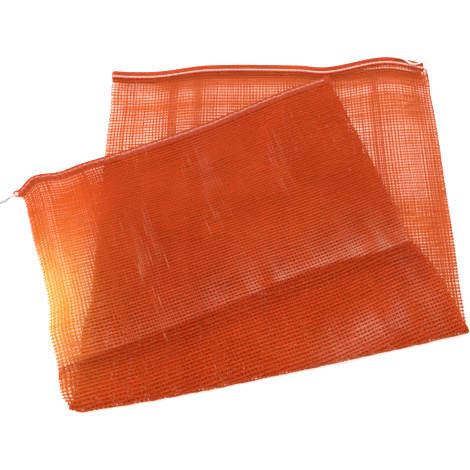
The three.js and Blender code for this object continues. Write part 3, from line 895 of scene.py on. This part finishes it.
def side_bulge(across, travel):
    """How far to the right a point is moved, where the sides stand out from straight ones."""
    centre = fold_centre(across)
    in_mouth_half = travel < centre
    left = read_table(LEFT_FROM_FOLD, LEFT_BULGE, np.abs(travel - centre))
    left = left + in_mouth_half * read_table(FROM_MOUTH, MOUTH_LEFT_BULGE, travel)
    right = in_mouth_half * read_table(FROM_MOUTH, MOUTH_RIGHT_BULGE, travel)
    return right * ease(across, 1 - BULGE_SHARE, 1.0) - left * (1 - ease(across, 0.0, BULGE_SHARE))


def covered(point):
    """1 where the folded half lies over a point of the other one, and 0 where it doesn't."""
    x = point[..., 0] * math.cos(2 * FOLD_ANGLE) + point[..., 1] * math.sin(2 * FOLD_ANGLE)
    across = np.clip((x - PANEL_INSET) / PANEL_WIDTH, 0, 1)
    along = ((point[..., :2] - fold_axis(across)) * FOLDED_WAY).sum(-1)
    inside = ease(np.minimum(x, BAG_WIDTH - x), 0, 15)
    return inside * ease(along, 0, 10) * ease(folded_length(across) - along, 0, 10)


# What is added to the amounts of painted glow, highlight and shade: on the warps, which are darker of their
# own, and on the mouth half where it isn't covered, a share of all three
WARP_WEAR = np.array([0, 0, 0.22])
UNCOVERED_MIX = np.array([0.1, 0.12, 0.22])
# Painted glow where light comes in low through the overhang: its strength and its spot
PAINTED_GLOW = 1.1
PAINTED_GLOW_SPOT = (0.0, 0.12, 178, 88)
# Painted highlight where the folded half shines beyond the crease, over this length, more towards the right,
# and in two spots
SHINE_START = 6.0
SHINE_LENGTH = 26.0
SHINE_LEAST = 0.35
SHINE_STEPS = [(0.8, 0.3, 0.6), (0.4, 0.7, 0.95)]
SHINE_SPOTS = [(0.95, 0.76, 0.13, 368, 20), (0.4, 0.93, 0.05, 350, 60)]
# Painted shade before the crease, over this length, at the fold, at the side edges and on its hidden panel
# under the top layer
SHADE_AT_CREASE = 0.55
SHADE_LENGTH = 15.0
SHADE_AT_FOLD = 0.35
SHADE_AT_SIDE = 0.7
SHADE_BELOW = 0.2
# Distances that the falling off is followed for
FALL_OFF = 200.0


def painted_light_at(across, travel, turn, near_fold):
    """How much painted glow, painted highlight and painted shade the net gets at a point."""
    back = BAG_LENGTH - travel
    topmost = 1.0 * (turn < UPPER_TURN)
    beyond = crease_offset(across, back)
    shine = SHINE_LEAST + sum(size * ease(across, start, end) for size, start, end in SHINE_STEPS)
    shine = shine * ease(beyond, 0, SHINE_START) * np.exp(-np.clip(beyond, 0, FALL_OFF) / SHINE_LENGTH)
    shine = shine + sum(size * spot(across, back, *place) for size, *place in SHINE_SPOTS)
    # Painted highlight beyond the crease, in the two spots and on the wrinkles' crests
    painted_highlight = shine * (0.8 + 0.4 * ripple(across * 900, back)) + 0.2 * wrinkles(across, back)
    painted_shade = SHADE_AT_CREASE * (1 - ease(beyond, -1, 4)) * np.exp(np.clip(beyond, -FALL_OFF, 0) / SHADE_LENGTH)
    painted_shade = painted_shade + SHADE_AT_FOLD * near_fold + SHADE_AT_SIDE * (np.abs(turn - math.pi / 2) < SIDE_TURNS)
    painted_shade = painted_shade + SHADE_BELOW * (1 - topmost) * ease(beyond, 0, 20) * ease(across, 0.1, 0.3)
    return np.stack([PAINTED_GLOW * spot(across, back, *PAINTED_GLOW_SPOT), painted_highlight * topmost, painted_shade], -1)


def woven(across, travel, turn, offset):
    """Points, normals, painted light and tone, and width of the net with its weave shifted, offset outwards.
    """
    sideways, lengthways = drift(across, travel, turn)
    travel = travel + lengthways
    point, normal = net_points(across + sideways, travel, turn)
    from_fold = travel - fold_centre(across)
    point[..., 0] += side_bulge(across + sideways, travel)
    at_corner = (1 - ease(across, 0, CORNER_SHARE)) * (1 - ease(np.abs(from_fold), *CORNER_RUN))
    point[..., 1] += CORNER_ROUND * at_corner
    near_fold = hill(from_fold, 0, FOLD_SQUEEZE)
    mouth_side = ease(-from_fold, 0, 20)
    under = covered(point) * mouth_side
    wider = 1 + WIDER_AT_FOLD * near_fold + WIDER_UNDER * under
    tone_and_painted_light = painted_light_at(across, travel, turn, near_fold) + UNCOVERED_MIX * (mouth_side - under)[..., None]
    return point + normal * offset[..., None], normal, tone_and_painted_light, wider


# Painted highlight streaks in the wrinkles: how many to a warp, how likely each one shows, how far from the
# wrinkles' centre they lie both ways, and their half lengths and strengths
STREAK_SEED = 61
STREAKS_EACH = 3
STREAK_CHANCE = 0.7
STREAK_ACROSS = 1.1
STREAK_ALONG = 0.9
STREAK_HALF = (6, 17)
STREAK_STRENGTH = (0.14, 0.4)
STREAK_WIDER = 1.2


def streaks(across, back):
    """Where single warps of the top layer get painted highlight streaks, in short lengths."""
    local = np.random.default_rng(STREAK_SEED)
    shown = np.zeros(back.shape)
    for a, half_a, b, half_b in WRINKLES:
        for row in np.nonzero(np.abs(across[:, 0] - a) < STREAK_ACROSS * half_a)[0]:
            for _ in range(STREAKS_EACH):
                centre = b + STREAK_ALONG * half_b * local.uniform(-1, 1)
                half = local.uniform(*STREAK_HALF)
                if local.uniform() < STREAK_CHANCE:
                    shown[row] += local.uniform(*STREAK_STRENGTH) * hill(back[row], centre, half)
    return np.clip(shown, 0, 1)


# Samples added to each warp round the fold
FOLD_SAMPLES = np.linspace(-9, 9, 13)[None, :]
# The amounts of a warp where a painted highlight streak shows
HIGHLIGHT_CHANNEL = np.array([0, 1, 0])


def add_warps(tapes, across, turn, low, high):
    """Tapes along the bag between two distances from the mouth. They get more samples round the fold."""
    even = wefts[(wefts > low) & (wefts < high)]
    centre = fold_centre(across)
    centre = centre - skew(across, centre)
    rows = len(across)
    travel = [np.full((rows, 1), low), np.tile(even, (rows, 1)), np.full((rows, 1), high)]
    if low < centre.max() and high > centre.min():
        travel.append(np.clip(centre[:, None] + FOLD_SAMPLES, low + 0.1, high - 0.1))
    travel = np.sort(np.concatenate(travel, 1), axis=1)
    order = np.interp(travel, wefts, np.arange(WEFTS))
    number = np.arange(rows)[:, None]
    offset = WEAVE_DEPTH * np.cos(math.pi * (order + number))
    turns = np.broadcast_to(turn, travel.shape)
    across = np.broadcast_to(across[:, None], travel.shape)
    point, normal, tone_and_painted_light, wider = woven(across, travel, turns, offset)
    # Each tape has a width of its own, which also changes along it, and is slightly rolled
    width = WARP_WIDTH * (1 + 0.14 * np.sin(number * 12.9898)) * (1 + 0.08 * fine_across(number * 9, travel))
    roll = 0.22 * fine_along(number * 31, travel * 1.3)
    painted_highlight = streaks(across, BAG_LENGTH - travel)[..., None] * (turn < UPPER_TURN)
    tone_and_painted_light = (tone_and_painted_light + WARP_WEAR) * (1 - painted_highlight) + painted_highlight * HIGHLIGHT_CHANNEL
    tapes.add(point, normal, width * wider * (1 + STREAK_WIDER * painted_highlight[..., 0]), roll, 0.0, tone_and_painted_light)


def weft_ring(panel_warps, upper):
    """Across and turn values along one weft on one panel, out to the middle of each side edge."""
    turn_at = math.pi if upper else 0.0
    left = [abs(turn_at - math.pi * share) for share in (0.5, 0.25)]
    across = np.concatenate([[0, 0, 0], panel_warps, [1, 1, 1]])
    turn = np.concatenate([left, np.full(len(panel_warps) + 2, turn_at), left[::-1]])
    order = np.concatenate([[-1, -0.75, -0.4], np.arange(WARPS), WARPS - 1 + np.array([0.4, 0.75, 1])])
    return across, turn, order


def add_wefts(tapes, panel_warps, upper, low, high):
    """Tapes round the bag between two distances from the mouth, over one panel."""
    chosen = np.nonzero((wefts > low) & (wefts < high))[0]
    across, turn, order = weft_ring(panel_warps, upper)
    shape = (len(chosen), len(across))
    travel = np.broadcast_to(wefts[chosen][:, None], shape)
    number = chosen[:, None]
    offset = -WEAVE_DEPTH * np.cos(math.pi * (order[None, :] + number))
    across = np.broadcast_to(across, shape)
    point, normal, tone_and_painted_light, wider = woven(across, travel, np.broadcast_to(turn, shape), offset)
    width = WEFT_WIDTH * (1 + 0.13 * np.sin(number * 78.233 + 2.0 * upper))
    width = width * (1 + 0.1 * fine_along(order[None, :] * 5, number * 17.0))
    roll = 0.25 * fine_across(order[None, :] * 4.5, number * 23.0)
    tapes.add(point, normal, width * wider, roll, 5.3, tone_and_painted_light)


for panel, warps in (("lower", lower_warps), ("upper", upper_warps)):
    upper = panel == "upper"
    own_half = f"net_{panel}"
    parts = [
        ("mouth", [own_half], "laid"),
        ("fold", ["net_fold", "net_folded_half", own_half], "folded"),
        ("bottom", ["net_folded_half"], "laid"),
    ]
    for (part, stands_for, held), low, high in zip(parts, PIECE_ENDS, PIECE_ENDS[1:]):
        tapes = Tapes()
        low = max(low, TUBE_RIM)
        add_warps(tapes, warps, math.pi if upper else 0.0, low, high)
        add_wefts(tapes, warps, upper, low, high)
        piece = tapes.build(f"net_{panel}_{part}")
        dress(piece, net_material, stands_for)


# Mouth hem: the same net turned outwards over the drawstring, which shows through a gap in it.
# CORD_VIEW is that gap's width, and it is open in what lies further out than CORD_VIEW_OUT.
CORD_SHOWN = 3.0
CORD_VIEW = 4.4
CORD_VIEW_OUT = 3.2
TAPES_IN_VIEW = 0.35
HEM_WEAR = np.array([0, 0.1, 0.12])
MOUTH_WEFT_SPACING = 2.9
BEND_POINTS = 7
SIDE_POINTS = 5
# Flat strips of net inside the hem, as its distances from the mouth edge and out, and its wefts' spacing:
# under the cord, and on its near side
MOUTH_STRIPS = [
    ([(0.9, 0.35), (CORD_DEPTH + 3, 0.35)], 2.7),
    ([(0.8, 2.5), (CORD_DEPTH - CORD_VIEW / 2 - 0.3, 2.9)], 1.9),
]


def hem_columns():
    """Across and turn from the upper panel's right end, round the left edge, to the lower one's."""
    top = upper_warps[upper_warps < MOUTH_HEM_END][::-1]
    bottom = lower_warps[lower_warps < MOUTH_HEM_END]
    across = np.concatenate([[MOUTH_HEM_END], top, [0] * SIDE_POINTS, bottom, [MOUTH_HEM_END]])
    turns = np.linspace(math.pi, 0, SIDE_POINTS)
    turn = np.concatenate([np.full(len(top) + 1, math.pi), turns, np.zeros(len(bottom) + 1)])
    return across, turn


def mouth_profile():
    """The hem's section as distances below the mouth edge and out from the net."""
    bend = HEM_STACK / 2
    points = [(TUBE_RIM, 0.0)]
    for angle in np.linspace(0, math.pi, BEND_POINTS):
        points.append((bend + WALL / 2 - bend * math.sin(angle), bend - bend * math.cos(angle)))
    points += [(CORD_DEPTH + CORD_DIAMETER, HEM_STACK), (MOUTH_HEM_WIDTH - WALL, 1.3), (MOUTH_HEM_WIDTH, 1.0)]
    return np.array(points)


def along_profile(profile, spacing):
    path = np.concatenate([profile, np.zeros((len(profile), 1))], 1)
    return resample(path, spacing)[:, :2]


def add_hem_net(tapes, place, columns, profile, weft_spacing, warp_width, weft_width, seed):
    """Warps that follow a hem's section, and wefts that run along it but leave the drawstring in view."""
    local = np.random.default_rng(seed)
    samples = along_profile(profile, weft_spacing / 2)
    over_cord = (np.abs(samples[:, 0] - CORD_DEPTH) < CORD_VIEW / 2) & (samples[:, 1] > CORD_VIEW_OUT)
    count = len(columns[0])
    shape = (count, len(samples))
    number = np.arange(count)[:, None]
    order = np.arange(len(samples))[None, :] / 2
    point, normal = place(
        [np.broadcast_to(column[:, None], shape) for column in columns],
        np.broadcast_to(samples[:, 0], shape),
        np.broadcast_to(samples[:, 1], shape),
        WEAVE_DEPTH * np.cos(math.pi * (order + number)),
    )
    width = warp_width * (1 + 0.15 * local.standard_normal((count, 1)).clip(-1.5, 1.5))
    width = width * np.where(over_cord, TAPES_IN_VIEW, 1.0)
    tapes.add(point, normal, width, 0.15 * local.standard_normal((count, 1)), 0.0, HEM_WEAR)
    lines = samples[::2][~over_cord[::2]]
    shape = (len(lines), count)
    number = np.arange(len(lines))[:, None]
    point, normal = place(
        [np.broadcast_to(column[None, :], shape) for column in columns],
        np.broadcast_to(lines[:, :1], shape),
        np.broadcast_to(lines[:, 1:], shape),
        -WEAVE_DEPTH * np.cos(math.pi * (np.arange(count)[None, :] + number)),
    )
    width = weft_width * (1 + 0.12 * local.standard_normal((len(lines), 1)).clip(-1.5, 1.5))
    tapes.add(point, normal, width, 0.2 * local.standard_normal((len(lines), 1)), 0.0, HEM_WEAR)


def place_on_mouth(columns, below, out, lift):
    """The turned-over net: its normals turn over with it at the rim."""
    across, turn = columns
    point, outward = mouth_points(across, below, turn, out)
    near_rim = 1 - ease(below, 1.0, 4.0)
    down = np.zeros_like(point)
    down[..., 1] = -1.0
    way = np.where(out < HEM_STACK / 2, -1.0, 1.0)[..., None]
    normal = unit(outward * way * (1 - near_rim)[..., None] - down * near_rim[..., None])
    return point + normal * lift[..., None], normal


def place_in_mouth(columns, below, out, lift):
    """A flat strip inside the hem."""
    across, turn = columns
    return mouth_points(across, below, turn, out + lift)


mouth_tapes = Tapes()
columns = hem_columns()
add_hem_net(
    mouth_tapes, place_on_mouth, columns, mouth_profile(), MOUTH_WEFT_SPACING, WARP_WIDTH, 1.9, seed=21
)
columns = (np.clip(columns[0] + 0.0035, 0, MOUTH_HEM_END), columns[1])
for number, (strip, spacing) in enumerate(MOUTH_STRIPS):
    add_hem_net(mouth_tapes, place_in_mouth, columns, np.array(strip), spacing, 1.6, 1.8, seed=22 + number)
mouth_hem = mouth_tapes.build("mouth_hem_net")
dress(mouth_hem, hem_material, ["mouth_hem_lower", "mouth_hem_upper"])

# Bottom hem: two bands of net, one in the other, folded over the closed end and sewn through
HEM_DISTANCES = [1.0, 4.5, 10.0]
OUTER_HEIGHTS = [1.9, 1.8, 1.3]
INNER_HEIGHTS = [1.4, 1.35, 1.12]
OUTER_WIDTH = 10.0
INNER_WIDTH = 8.0
BOTTOM_WARPS = 126
TAB_WARPS = [-BOTTOM_HEM_TAB, -5.5, -2.8]
TAB_NARROWING = 0.055


def bottom_points(columns, from_bottom, out, lift):
    """Points of the bottom hem's band: out is the height above the middle of the closed end."""
    across, past = columns
    # The band is narrower where it stands out past the side
    row = np.maximum(from_bottom, 0.0) * (1 + TAB_NARROWING * np.minimum(past, 0))
    middle = (folded_half(False, across, row) + folded_half(True, across, row)) / 2
    heading = 2 * FOLD_ANGLE
    beyond = np.minimum(from_bottom, 0.0)
    middle[..., 0] += past * math.cos(heading) - beyond * FOLDED_WAY[0]
    middle[..., 1] += past * math.sin(heading) - beyond * FOLDED_WAY[1]
    middle[..., 2] += out
    tip = 1 - ease(from_bottom, -0.6, 1.2)
    normal = np.zeros_like(middle)
    normal[..., 2] = np.where(out > 0, 1.0, -1.0) * (1 - tip)
    normal[..., :2] = FOLDED_WAY * tip[..., None]
    normal = unit(normal)
    return middle + normal * lift[..., None], normal


def bottom_profile(heights, width):
    """The hem's section, as distances from the bottom edge and heights: down one side, round and back."""
    tip = -PIECE_GAP - WALL / 2
    side = [(min(distance, width), height) for distance, height in zip(HEM_DISTANCES, heights)]
    points = side[::-1]
    for angle in np.linspace(0, math.pi, BEND_POINTS):
        points.append((tip * math.sin(angle) * 1.2 + 0.2, heights[0] * math.cos(angle)))
    points += [(distance, -height) for distance, height in side]
    return np.array(points)


bottom_tapes = Tapes()
across = np.concatenate([[0] * len(TAB_WARPS), np.linspace(0, 1, BOTTOM_WARPS), [1]])
past = np.concatenate([TAB_WARPS, np.zeros(BOTTOM_WARPS), [BOTTOM_HEM_OVERLAP]])
band = bottom_profile(OUTER_HEIGHTS, OUTER_WIDTH)
add_hem_net(bottom_tapes, bottom_points, (across, past), band, 3.6, 1.6, 2.0, seed=31)
band = bottom_profile(INNER_HEIGHTS, INNER_WIDTH)
columns = (np.clip(across + 0.004, 0, 1), past)
add_hem_net(bottom_tapes, bottom_points, columns, band, 4.1, 1.5, 1.9, seed=32)
bottom_hem = bottom_tapes.build("bottom_hem_net")
dress(bottom_hem, hem_material, ["bottom_hem"])


# Stitches along the bottom hem: dashes that dip into it on top, and the thread between them underneath
STITCH_LENGTH = 8.0
STITCH_SHOWN = 0.86 * STITCH_LENGTH
STITCH_FROM_EDGE = 4.0
STITCH_HALF_WIDTH = 0.75
STITCH_SCATTER = 0.35
STITCH_START = 2.0
STITCH_DIP = 0.5
STITCH_RISE = 1.3
UNDER_DROP = 0.4
SEAM_THREAD = 0.65
# The thread is tinted towards pink, most on the left up to here
TINT_LEFT = 0.9
TINT_LESS = 0.35
TINT_RUN = (-35, 55)


def hem_height(from_bottom):
    return np.interp(from_bottom, HEM_DISTANCES, OUTER_HEIGHTS)


def hem_line(distance, from_bottom, out):
    """A point on the hem by its distance from the hem's left end."""
    past = np.minimum(distance - BOTTOM_HEM_TAB, 0)
    across = np.clip((distance - BOTTOM_HEM_TAB) / PANEL_WIDTH, 0, 1)
    point, _ = bottom_points((across, past), from_bottom, out, np.zeros_like(distance))
    return point


def stitch_on_top(start, local):
    """A flat, closed loop of thread."""
    t = np.linspace(0, 1, 19)
    half_width = STITCH_HALF_WIDTH * (1 + 0.2 * local.standard_normal())
    run = start + STITCH_SHOWN * (0.5 - 0.5 * np.cos(2 * math.pi * t))
    from_edge = STITCH_FROM_EDGE + STITCH_SCATTER * local.standard_normal()
    from_edge = from_edge + half_width * np.sin(2 * math.pi * t)
    middle = np.sin(math.pi * np.clip((run - start) / STITCH_SHOWN, 0, 1))
    return hem_line(run, from_edge, hem_height(from_edge) - STITCH_DIP + STITCH_RISE * middle**0.5)


def stitch_underneath(start):
    run = start + STITCH_LENGTH * np.linspace(0.06, 0.94, 9)
    from_edge = np.full_like(run, STITCH_FROM_EDGE)
    return hem_line(run, from_edge, -hem_height(from_edge) - UNDER_DROP)


seam_length = PANEL_WIDTH + BOTTOM_HEM_TAB + BOTTOM_HEM_OVERLAP - 2 * STITCH_START
stitch_starts = [STITCH_START + i * STITCH_LENGTH for i in range(int(seam_length / STITCH_LENGTH))]
local = np.random.default_rng(41)
stitches = [stitch_on_top(start, local) for start in stitch_starts]
stitches += [stitch_underneath(start) for start in stitch_starts]
points, faces = tube_mesh(stitches, SEAM_THREAD)
seam = new_object("bottom_seam_stitches", points, faces)
tint = np.zeros((len(points), 3))
tint[:, 0] = TINT_LEFT - TINT_LESS * ease(points[:, 0], *TINT_RUN)
paint(seam, tint)
dress(seam, thread_material)

# Drawstring inside the mouth hem, round the left edge
CORD_OUT = WALL / 2 + PIECE_GAP + CORD_DIAMETER / 2
CORD_SAMPLES = 60
# The drawstring in the hem is painted part way to pink, standing in for the orange net over it and the light
# that comes through that net
CORD_PAINTED_TINT = (0.5, 0, 0)
way_back = np.linspace(MOUTH_HEM_END, 0, CORD_SAMPLES)
run_across = np.concatenate([way_back, np.zeros(3), np.linspace(0, MOUTH_HEM_END, CORD_SAMPLES)])
side_turns = math.pi * np.array([0.75, 0.5, 0.25])
run_turn = np.concatenate([np.full(CORD_SAMPLES, math.pi), side_turns, np.zeros(CORD_SAMPLES)])
cord_path, _ = mouth_points(run_across, CORD_DEPTH, run_turn, CORD_OUT)
cord_exit = cord_path[0]
run = new_object("drawstring_in_hem", *sweep_lobes(resample(cord_path, 1.0), CORD_SHOWN, CORD_LAY, sides=9))
paint(run, CORD_PAINTED_TINT)
dress(run, cord_material, ["drawstring_run"])

# The drawstring's free end; places count from where it leaves the hem
ON_HEM = HEM_STACK + WALL / 2 + PIECE_GAP + CORD_DIAMETER / 2 - CORD_OUT + 0.2
end_route = [
    (PIECE_GAP, 0, 0),
    (4, 0, 0),
    (7, 1.5, 0.3),
    (8.6, 4.5, 1.2),
    (8, 8, 2.4),
    (4.5, 10.3, ON_HEM),
    (0, 9.4, ON_HEM),
    (-5, 6.6, ON_HEM),
    (-10, 4.6, ON_HEM),
    (-15, 4, ON_HEM),
    (-20, 5.2, ON_HEM),
    (-24.5, 8.6, ON_HEM),
    (-28.5, 12.4, ON_HEM),
    (-33, 14.8, ON_HEM),
    (-38, 15.6, ON_HEM),
]
end_path = smooth_path(np.array(end_route) + cord_exit, 0.8)
loose_end = new_object("drawstring_free_end", *sweep_lobes(end_path, CORD_SHOWN, CORD_LAY, sides=12))
dress(loose_end, cord_material, ["drawstring_end"])


def knot_path(centre, size, way):
    """An overhand knot's path, flattened, with its long side along way."""
    t = np.linspace(0, 2 * math.pi, 61)[:-3]
    x = np.sin(t) + 2 * np.sin(2 * t)
    y = np.cos(t) - 2 * np.cos(2 * t)
    z = -np.sin(3 * t)
    turned = np.stack([x * way[0] - y * way[1], x * way[1] + y * way[0], z * 0.8], -1)
    return resample(centre + turned * size / 6, 0.5)


KNOT_CORD = 2.3
KNOT_SINK = 0.4
knot_spare = KNOT_DIAMETER - CORD_DIAMETER
way = unit(end_path[-1] - end_path[-4])
knot_centre = end_path[-1] + way * (KNOT_DIAMETER / 2 + PIECE_GAP)
knot_centre[2] += knot_spare / 2 - KNOT_SINK
knot_line = knot_path(knot_centre, knot_spare, way)
knot = new_object("drawstring_end_knot", *sweep_lobes(knot_line, KNOT_CORD, KNOT_LAY, sides=10))
dress(knot, cord_material, ["drawstring_knot"])

# The loose end of the seam's thread, which comes down to the surface
left_end = hem_line(np.array([-PIECE_GAP]), np.array([BOTTOM_HEM_WIDTH / 2]), np.array([0.0]))[0]
LYING = TAIL_DIAMETER / 2 + PIECE_GAP / 3
tail_route = [
    (0, 0, left_end[2]),
    (-4, -1, left_end[2]),
    (-9, -3, (left_end[2] + LYING) / 2),
    (-14, -6.5, LYING),
    (-19, -9, LYING),
    (-25, -9.6, LYING),
    (-31, -8.6, LYING),
    (-37, -8, LYING),
]
tail_path = smooth_path([(left_end[0] + x, left_end[1] + y, z) for x, y, z in tail_route], 0.8)
tail = new_object("loose_thread_tail", *sweep_lobes(tail_path, TAIL_DIAMETER, TAIL_LAY, sides=12))
dress(tail, tail_material, ["thread_tail"])

# Its strands come apart towards the end, and a knot holds them at the hem
STRANDS = 16
STRAND_DIAMETER = 1.0
STRAND_LEAST_HEIGHT = 0.4
SEAM_KNOT_PLACE = np.array([4.0, 1.0, 3.6])
SEAM_KNOT_WAY = np.array([0.3, 0.95])
SEAM_KNOT_SIZE = 5.0
SEAM_KNOT_THREAD = 2.1


def strand_path(number, local):
    """One strand, from somewhere in the tail's first quarter to its end."""
    strand = tail_path[int(len(tail_path) * local.uniform(0.0, 0.25)) :].copy()
    t = np.linspace(0, 1, len(strand))
    strand[:, 1] += (1 - np.exp(-5 * t)) * local.uniform(-2.8, 4.4)
    strand[:, 1] += 0.8 * np.sin(t * local.uniform(3, 9)) * t
    strand[:, 0] += t * local.uniform(-1.5, 7)
    height = np.maximum(strand[:, 2] * (1 - 0.5 * t), STRAND_LEAST_HEIGHT)
    strand[:, 2] = height + 0.5 * number / STRANDS
    return strand


local = np.random.default_rng(51)
strands = [strand_path(number, local) for number in range(STRANDS)]
fray = new_object("loose_thread_strands", *tube_mesh(strands, STRAND_DIAMETER))
dress(fray, tail_material)
knot_line = knot_path(left_end + SEAM_KNOT_PLACE, SEAM_KNOT_SIZE, SEAM_KNOT_WAY)
seam_knot = new_object("loose_thread_knot", *sweep_lobes(knot_line, SEAM_KNOT_THREAD, SEAM_KNOT_LAY, sides=8))
dress(seam_knot, knot_material)

# Floor, with a faint warm glow of its own, and light
FLOOR_HALF = 4
FLOOR_HEIGHT = -0.0003
SKY_STRENGTH = 0.84
mesh = bpy.data.meshes.new("floor")
corners = [(-1, -1), (1, -1), (1, 1), (-1, 1)]
mesh.from_pydata([(x * FLOOR_HALF, y * FLOOR_HALF, FLOOR_HEIGHT) for x, y in corners], [], [(0, 1, 2, 3)])
floor = bpy.data.objects.new("floor", mesh)
bpy.context.scene.collection.objects.link(floor)
floor_nodes = Nodes("floor_white")
floor_nodes.shade(
    Base_Color=(0.93, 0.93, 0.93, 1),
    Roughness=0.9,
    Emission_Color=(1, 0.84, 0.72, 1),
    Emission_Strength=0.32,
)
floor.data.materials.append(floor_nodes.material)
floor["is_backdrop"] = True

world = bpy.data.worlds.new("studio")
bpy.context.scene.world = world
world.use_nodes = True
world.node_tree.nodes["Background"].inputs["Color"].default_value = (1, 1, 1, 1)
world.node_tree.nodes["Background"].inputs["Strength"].default_value = SKY_STRENGTH


def area_light(name, place, size, power):
    """A rectangular light that faces the origin."""
    light = bpy.data.lights.new(name, "AREA")
    light.shape = "RECTANGLE"
    light.size, light.size_y = size
    light.energy = power
    obj = bpy.data.objects.new(name, light)
    obj.location = place
    x, y, z = place
    obj.rotation_euler = (math.atan2(math.hypot(x, y), z), 0, math.atan2(-x, y) + math.pi)
    bpy.context.scene.collection.objects.link(obj)


area_light("soft_top", (-0.1, 0.9, 1.6), size=(1.2, 0.9), power=25)
area_light("soft_left", (-1.4, -0.2, 1.1), size=(0.8, 0.8), power=9)
bpy.context.scene.view_settings.view_transform = "Standard"

low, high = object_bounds()
